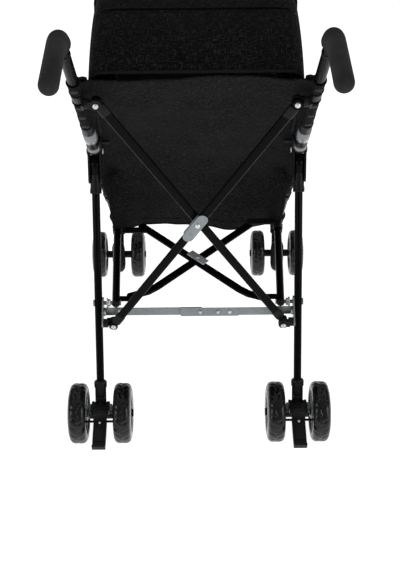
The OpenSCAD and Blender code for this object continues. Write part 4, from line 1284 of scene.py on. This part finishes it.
class STROLLER_OT_cabin(bpy.types.Operator):
    """Builds the cabin's back, sides, pouch and front in heathered cloth"""

    bl_idname = "stroller.cabin"
    bl_label = "Cabin"

    def execute(self, context):
        cloth("back_panel", back_surface, 88, 84, "carrier_shell")
        cloth("pouch_cloth", pouch_surface, 60, 34, "carrier_shell")
        cloth("front_panel", front_surface, 44, 14, "carrier_shell")
        for side, sign in SIDES:
            name, body = f"side_panel_{side}", "side_" + side
            panel = side_surface(sign)
            cloth(name, panel, 34, 26, "carrier_shell", body=body, squeezed=False)
            self.edges(side, panel, sign)
            for tag, low, high in (("low", -300, -150), ("mid", 154, 272), ("high", 314, 352)):
                self.sleeve(f"{tag}_{side}", sign, low, high, body)
                self.hems(tag, side, sign, low, high, body)
            for tag, low, high in (("rear", 274, 350), ("front", 378, 401)):
                self.rail_sleeve(f"rail_sleeve_{tag}_{side}", sign, low, high, "seat_" + side)
        self.seams()
        return {"FINISHED"}

    def edges(self, side, surface, sign):
        """Bound edges and the low seam of a side panel."""
        body = "side_" + side
        outlines = {
            "top": [surface(i / 20, 0) for i in range(21)],
            "front": [surface(1, i / 16) for i in range(17)],
            "low": [surface(i / 24, 1) for i in range(25)],
        }
        for tag, points in outlines.items():
            rim = [at(*p) for p in points]
            tube(f"side_binding_{tag}_{side}", rim, 2.6, "binding_tape", body, 8)
        seam = [at(*surface(i / 20, 0.9)) + Vector((sign * 0.001, 0, 0)) for i in range(1, 21)]
        tube(f"side_seam_{side}", seam, 0.7, "binding_tape", body, 6)

    def sleeve(self, tag, sign, low, high, body):
        """Cloth round a push tube between two places on it, its web to the side panel, and its snaps."""

        def around(u, v):
            along, a = low + (high - low) * v, 2 * math.pi * u
            r = 10.6 + 0.3 * math.sin(3 * a + along * 0.05) + 0.25 * math.sin(along * 0.13 + a)
            return beside_push(sign * (HALF_TRACK + r * math.sin(a)), along, r * math.cos(a))

        def web(u, v):
            along = low + (high - low) * v
            x = WEB_X + (HALF_TRACK - 8.5 - WEB_X) * u
            return beside_push(
                sign * x, along, 7.5 + 1.6 * math.sin(math.pi * u) + 0.8 * math.sin(along * 0.09)
            )

        rows = max(6, int((high - low) / 8))
        skin(f"tube_sleeve_{tag}", around, 24, rows, 1.2, "heather_cloth", body, around=True)
        rows = max(6, int((high - low) / 10))
        skin(f"sleeve_web_{tag}", web, 6, rows, 1.2, "heather_cloth", body)
        for i, share in enumerate((0.12, 0.5, 0.88) if high - low > 100 else (0.5,)):
            along = low + (high - low) * share
            spot = push_point(sign, along, -10.8)
            out = push_point(sign, along, -20) - spot
            dome(f"snap_{tag}_{i}", spot, out, 4.6, 1.4, "black_plastic", body, 20)
            turned(f"snap_ring_{tag}_{i}", SNAP_RING, spot, out, "black_plastic", body, 24)

    def hems(self, tag, side, sign, low, high, body):
        """Taped ends of a sleeve."""
        for end, along in (("a", low), ("b", high)):
            turns = [2 * math.pi * k / 24 for k in range(24)]
            ring = [
                at(*beside_push(sign * (HALF_TRACK + 11.4 * math.sin(a)), along, 11.4 * math.cos(a)))
                for a in turns
            ]
            tube(f"sleeve_hem_{tag}_{end}_{side}", ring, 1.1, "binding_tape", body, 6, closed=True)

    def rail_sleeve(self, name, sign, low, high, body):
        """Cloth round a seat tube, where the pouch hangs on it."""

        def surface(u, v):
            along, a = low + (high - low) * v, 2 * math.pi * u
            r = 8.9 + 0.35 * math.sin(3 * a + along * 0.11)
            p = rail(sign, along, r * math.cos(a)) + Vector((r * math.sin(a) * MM, 0, 0))
            return (p.x / MM, (p.y - AXLE_Y) / MM, p.z / MM)

        skin(name, surface, 20, 8, 1.0, "heather_cloth", body, around=True)

    def seams(self):
        """Bindings, hem and stitching of the back and the lip."""
        below = Vector((0, -0.0009, -0.0009))
        stitch = [at(*back_surface(0.02 + 0.96 * i / 48, 0.955)) + below for i in range(49)]
        runs = [
            ("back_hem", [at(*back_surface(i / 48, 1.0)) for i in range(49)], 2.2, 8),
            ("back_hem_stitch", stitch, 0.55, 6),
            ("back_binding_left", [at(*back_surface(0, i / 60)) for i in range(61)], 1.7, 8),
            ("back_binding_right", [at(*back_surface(1, i / 60)) for i in range(61)], 1.7, 8),
            ("lip_binding", [at(*front_surface(i / 40, 1.0)) for i in range(41)], 3.0, 10),
        ]
        for name, points, radius, segments in runs:
            squeeze(tube(name, points, radius, "binding_tape", "side_left", segments))


class STROLLER_OT_hood(bpy.types.Operator):
    """Builds the fixed rear gore, the swinging front gore and the hood's bows"""

    bl_idname = "stroller.hood"
    bl_label = "Hood"

    def execute(self, context):
        rear = hood_surface(290.5, 182.4, HOOD_CORNER, 72, 131, 7)
        cloth("hood_rear_gore", rear, 84, 22, "carrier_shell")
        front = hood_surface(298.9, 186.6, HOOD_CORNER, 15, 77, 8)
        cloth("hood_front_gore", front, 84, 24, "hood", body="hood")
        for tag, radius, half, angle, body in (
            ("front", 298.6, 186.4, 15.4, "hood"),
            ("middle", 298.8, 186.4, 76.4, "hood"),
            ("rear", 290.0, 182.0, 131, "side_left"),
        ):
            edge = hood_edge(radius, half, HOOD_CORNER, angle)
            squeeze(tube(f"hood_binding_{tag}", edge, 2.7, "binding_tape", body, 8))
        for tag, radius, half, angle, body in (
            ("front", 294.3, 185.3, 19.5, "hood"),
            ("rear", 286.0, 179.0, 101, "side_left"),
        ):
            edge = hood_edge(radius, half, BOW_CORNER, angle)
            squeeze(tube(f"hood_bow_{tag}", edge, 2.2, "tube_paint", body, 8))
        for side, sign in SIDES:
            spot = at(sign * 188.4, *HOOD_PIVOT)
            turned(f"hood_boss_{side}", HOOD_BOSS, spot, (sign, 0, 0), "black_plastic", "side_" + side, 40)
        return {"FINISHED"}


class STROLLER_OT_door(bpy.types.Operator):
    """Builds the net door with its taped border, zips and pulls"""

    bl_idname = "stroller.door"
    bl_label = "Front door"

    def execute(self, context):
        low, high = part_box("mesh_door")
        base = Vector((0, high.y - 0.0022, low.z + 0.001))
        top = Vector((0, low.y + 0.0022, high.z - 0.001))
        half = (high.x - low.x) / 2 - 0.004
        reach = top - base
        out = Vector((0, reach.z, -reach.y)).normalized()

        def surface(u, v):
            swell = 0.0025 * math.sin(math.pi * u) * math.sin(math.pi * v)
            p = base + reach * (0.01 + 0.98 * v) + out * (swell - 0.0018)
            return ((2 * u - 1) * half / MM, (p.y - AXLE_Y) / MM, p.z / MM)

        cloth("door_panel", surface, 30, 30, "mesh_door", look="door_net", body="door", thick=0.7)
        outline = self.outline(half, reach.length)
        up, wide = reach.normalized(), Vector((1, 0, 0))
        ring = [base + up * v + wide * x + out * -0.0006 for x, v in outline]
        ring.append(ring[0])

        def across(i):
            return out.cross(ring[min(i + 1, len(ring) - 1)] - ring[max(i - 1, 0)])

        squeeze(strip("door_border", ring, across, 15, 2.2, "binding_tape", "door"))
        middle = reach.length / 2
        track = [
            base + up * (middle + (v - middle) * 0.93) + wide * (x * ZIP_INSET) + out * 0.0012
            for x, v in outline
        ]
        squeeze(tube("door_zip", track + track[:1], 1.9, "zip_plastic", "door", 6, oval=0.6))
        turn = Matrix((wide, out, wide.cross(out))).transposed()
        for side, sign in SIDES:
            spot = base + reach * 0.32 + wide * (sign * half * ZIP_INSET) + out * 0.003
            squeeze(block(f"zip_slider_{side}", spot, (9, 3.6, 12), turn, "bolt_steel", "door", 1.0))
            spot -= up * 0.018
            squeeze(block(f"zip_pull_{side}", spot, (5, 1.6, 26), turn, "zip_plastic", "door", 0.7))
        return {"FINISHED"}

    def outline(self, half, length, radius=0.03):
        """The door's edge as (x, up) in metres, with round corners."""
        points = []
        corners = ((-1, 0, 1.5), (-1, 1, 1.0), (1, 1, 0.5), (1, 0, 0.0))
        for side, top, quarter in corners:
            x = side * (half - radius)
            v = length - radius if top else radius
            for i in range(7):
                a = math.pi * quarter - math.pi / 2 * i / 6
                points.append((x + radius * math.cos(a), v + radius * math.sin(a)))
        return points


class STROLLER_OT_pad(bpy.types.Operator):
    """Builds the padded mat in the pouch"""

    bl_idname = "stroller.pad"
    bl_label = "Floor pad"

    def execute(self, context):
        low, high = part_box("floor_mat")
        half = (high.x - low.x) / 2 - 0.001
        rise = math.atan2(40, 228)
        length = (high.y - low.y) / math.cos(rise) - 0.004
        start = Vector((0, low.y + 0.005, low.z + 0.0005))
        fwd = Vector((0, math.cos(rise), math.sin(rise)))
        up = Vector((0, -math.sin(rise), math.cos(rise)))
        nu, nv = 60, 44
        verts, faces, uvs = [], [], []
        for layer in (1, -1):
            for j in range(nv + 1):
                for i in range(nu + 1):
                    a, b = 2 * i / nu - 1, 2 * j / nv - 1
                    cut = 1 - 0.06 * (abs(a) ** 8) * (abs(b) ** 8)
                    x, s = a * half * cut, (b * cut * 0.5 + 0.5) * length
                    edge = (1 - abs(a) ** 7) * (1 - abs(b) ** 7)
                    rows = abs(math.sin(math.pi * (x + 1) / 0.0725)) * abs(math.sin(math.pi * s / 0.066))
                    quilt = 0.6 + 0.4 * rows ** 0.5
                    rise_now = 0.0058 * edge ** 0.5 * (quilt if layer > 0 else 0.85)
                    verts.append(start + fwd * s + up * (0.006 + layer * rise_now) + Vector((x, 0, 0)))
                    uvs.append((x, s))
        count = (nu + 1) * (nv + 1)
        for j in range(nv):
            for i in range(nu):
                a = j * (nu + 1) + i
                quad = (a, a + 1, a + nu + 2, a + nu + 1)
                faces.append(quad)
                faces.append(tuple(count + k for k in quad[::-1]))
        loop = list(range(nu)) + [j * (nu + 1) + nu for j in range(nv)]
        loop += [nv * (nu + 1) + i for i in range(nu, 0, -1)] + [j * (nu + 1) for j in range(nv, 0, -1)]
        for a, b in zip(loop, loop[1:] + loop[:1]):
            faces.append((b, a, count + a, count + b))
        pad = piece("floor_pad", verts, faces, "pad_fleece", "side_left", uvs)
        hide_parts("floor_mat")
        squeeze(pad)
        piping = [(verts[k] + verts[count + k]) / 2 for k in loop[::2]]
        squeeze(tube("pad_piping", piping, 1.6, "binding_tape", "side_left", 6, closed=True))
        return {"FINISHED"}


# ---------- studio ----------


def area_light(name, place, target, size, power):
    """A soft rectangular light that faces a target."""
    data = bpy.data.lights.new(name, "AREA")
    data.shape = "RECTANGLE"
    data.size, data.size_y = size
    data.energy = power
    obj = bpy.data.objects.new(name, data)
    obj.location = place
    obj.rotation_euler = (Vector(target) - Vector(place)).to_track_quat("-Z", "Y").to_euler()
    bpy.context.scene.collection.objects.link(obj)


class STROLLER_OT_stage(bpy.types.Operator):
    """Builds the pale floor, the soft lights and the camera"""

    bl_idname = "stroller.stage"
    bl_label = "Studio"

    def execute(self, context):
        s = settings("studio")
        made = bmesh.new()
        bmesh.ops.create_grid(made, x_segments=2, y_segments=2, size=14)
        mesh = bpy.data.meshes.new("studio_floor")
        made.to_mesh(mesh)
        made.free()
        floor = bpy.data.objects.new("studio_floor", mesh)
        bpy.context.scene.collection.objects.link(floor)
        material, tree, shader = base_material("floor_paint")
        place = tree.nodes.new("ShaderNodeTexCoord").outputs["Object"]
        tone = blend_colour(tree, noise(tree, place, 3.0), (0.6, 0.6, 0.6, 1), (0.63, 0.63, 0.63, 1))
        join(tree, tone, shader.inputs["Base Color"])
        shader.inputs["Roughness"].default_value = 0.9
        shader.inputs["Specular IOR Level"].default_value = 0.1
        shader.inputs["Emission Color"].default_value = (1, 1, 1, 1)
        shader.inputs["Emission Strength"].default_value = s.floor
        mesh.materials.append(material)
        world = bpy.data.worlds.new("studio_world")
        bpy.context.scene.world = world
        world.use_nodes = True
        world.node_tree.nodes["Background"].inputs["Color"].default_value = (1, 1, 1, 1)
        world.node_tree.nodes["Background"].inputs["Strength"].default_value = s.world
        area_light("key_light", (-2.5, -1.9, 1.7), (0, 0, 0.4), (1.4, 1.6), s.key)
        area_light("fill_light", (2.6, -1.9, 1.6), (0, 0, 0.4), (1.4, 1.6), s.key * 1.15)
        area_light("top_light", (0, 0.6, 3.4), (0, 0.2, 0.0), (3.4, 3.4), s.top)
        data = bpy.data.cameras.new("camera")
        data.lens = s.lens
        data.sensor_width = 36
        data.shift_x = 0.0033
        camera = bpy.data.objects.new("camera", data)
        camera.location = at(0, -1582, 1444.5)
        tilt = Matrix.Rotation(math.pi / 2 - s.pitch, 3, "X") @ Matrix.Rotation(-s.roll, 3, "Z")
        camera.rotation_euler = tilt.to_euler()
        bpy.context.scene.collection.objects.link(camera)
        bpy.context.scene.camera = camera
        bpy.context.scene.view_settings.view_transform = "Standard"
        return {"FINISHED"}


OPERATORS = (
    STROLLER_OT_finishes,
    STROLLER_OT_frame_nodes,
    STROLLER_OT_wheels,
    STROLLER_OT_fittings,
    STROLLER_OT_handles,
    STROLLER_OT_cabin,
    STROLLER_OT_hood,
    STROLLER_OT_door,
    STROLLER_OT_pad,
    STROLLER_OT_stage,
)


class STROLLER_PT_panel(bpy.types.Panel):
    """Lists the stroller's settings and pieces"""

    bl_idname = "STROLLER_PT_panel"
    bl_label = "Pet stroller"
    bl_space_type = "VIEW_3D"
    bl_region_type = "UI"
    bl_category = "Stroller"

    def draw(self, context):
        for name, group in SETTINGS.items():
            box = self.layout.box()
            box.label(text=name.replace("_", " ").capitalize())
            for key in group.__annotations__:
                box.prop(settings(name), key)
        for operator in OPERATORS:
            self.layout.operator(operator.bl_idname)


CLASSES = (*SETTINGS.values(), *OPERATORS, STROLLER_PT_panel)


def register():
    for item in CLASSES:
        bpy.utils.register_class(item)
    for name, group in SETTINGS.items():
        setattr(bpy.types.Scene, "stroller_" + name, PointerProperty(type=group))


def unregister():
    for name in SETTINGS:
        delattr(bpy.types.Scene, "stroller_" + name)
    for item in reversed(CLASSES):
        bpy.utils.unregister_class(item)


def main():
    register()
    for operator in OPERATORS:
        folder, name = operator.bl_idname.split(".")
        getattr(getattr(bpy.ops, folder), name)()


if __name__ == "__main__":
    main()
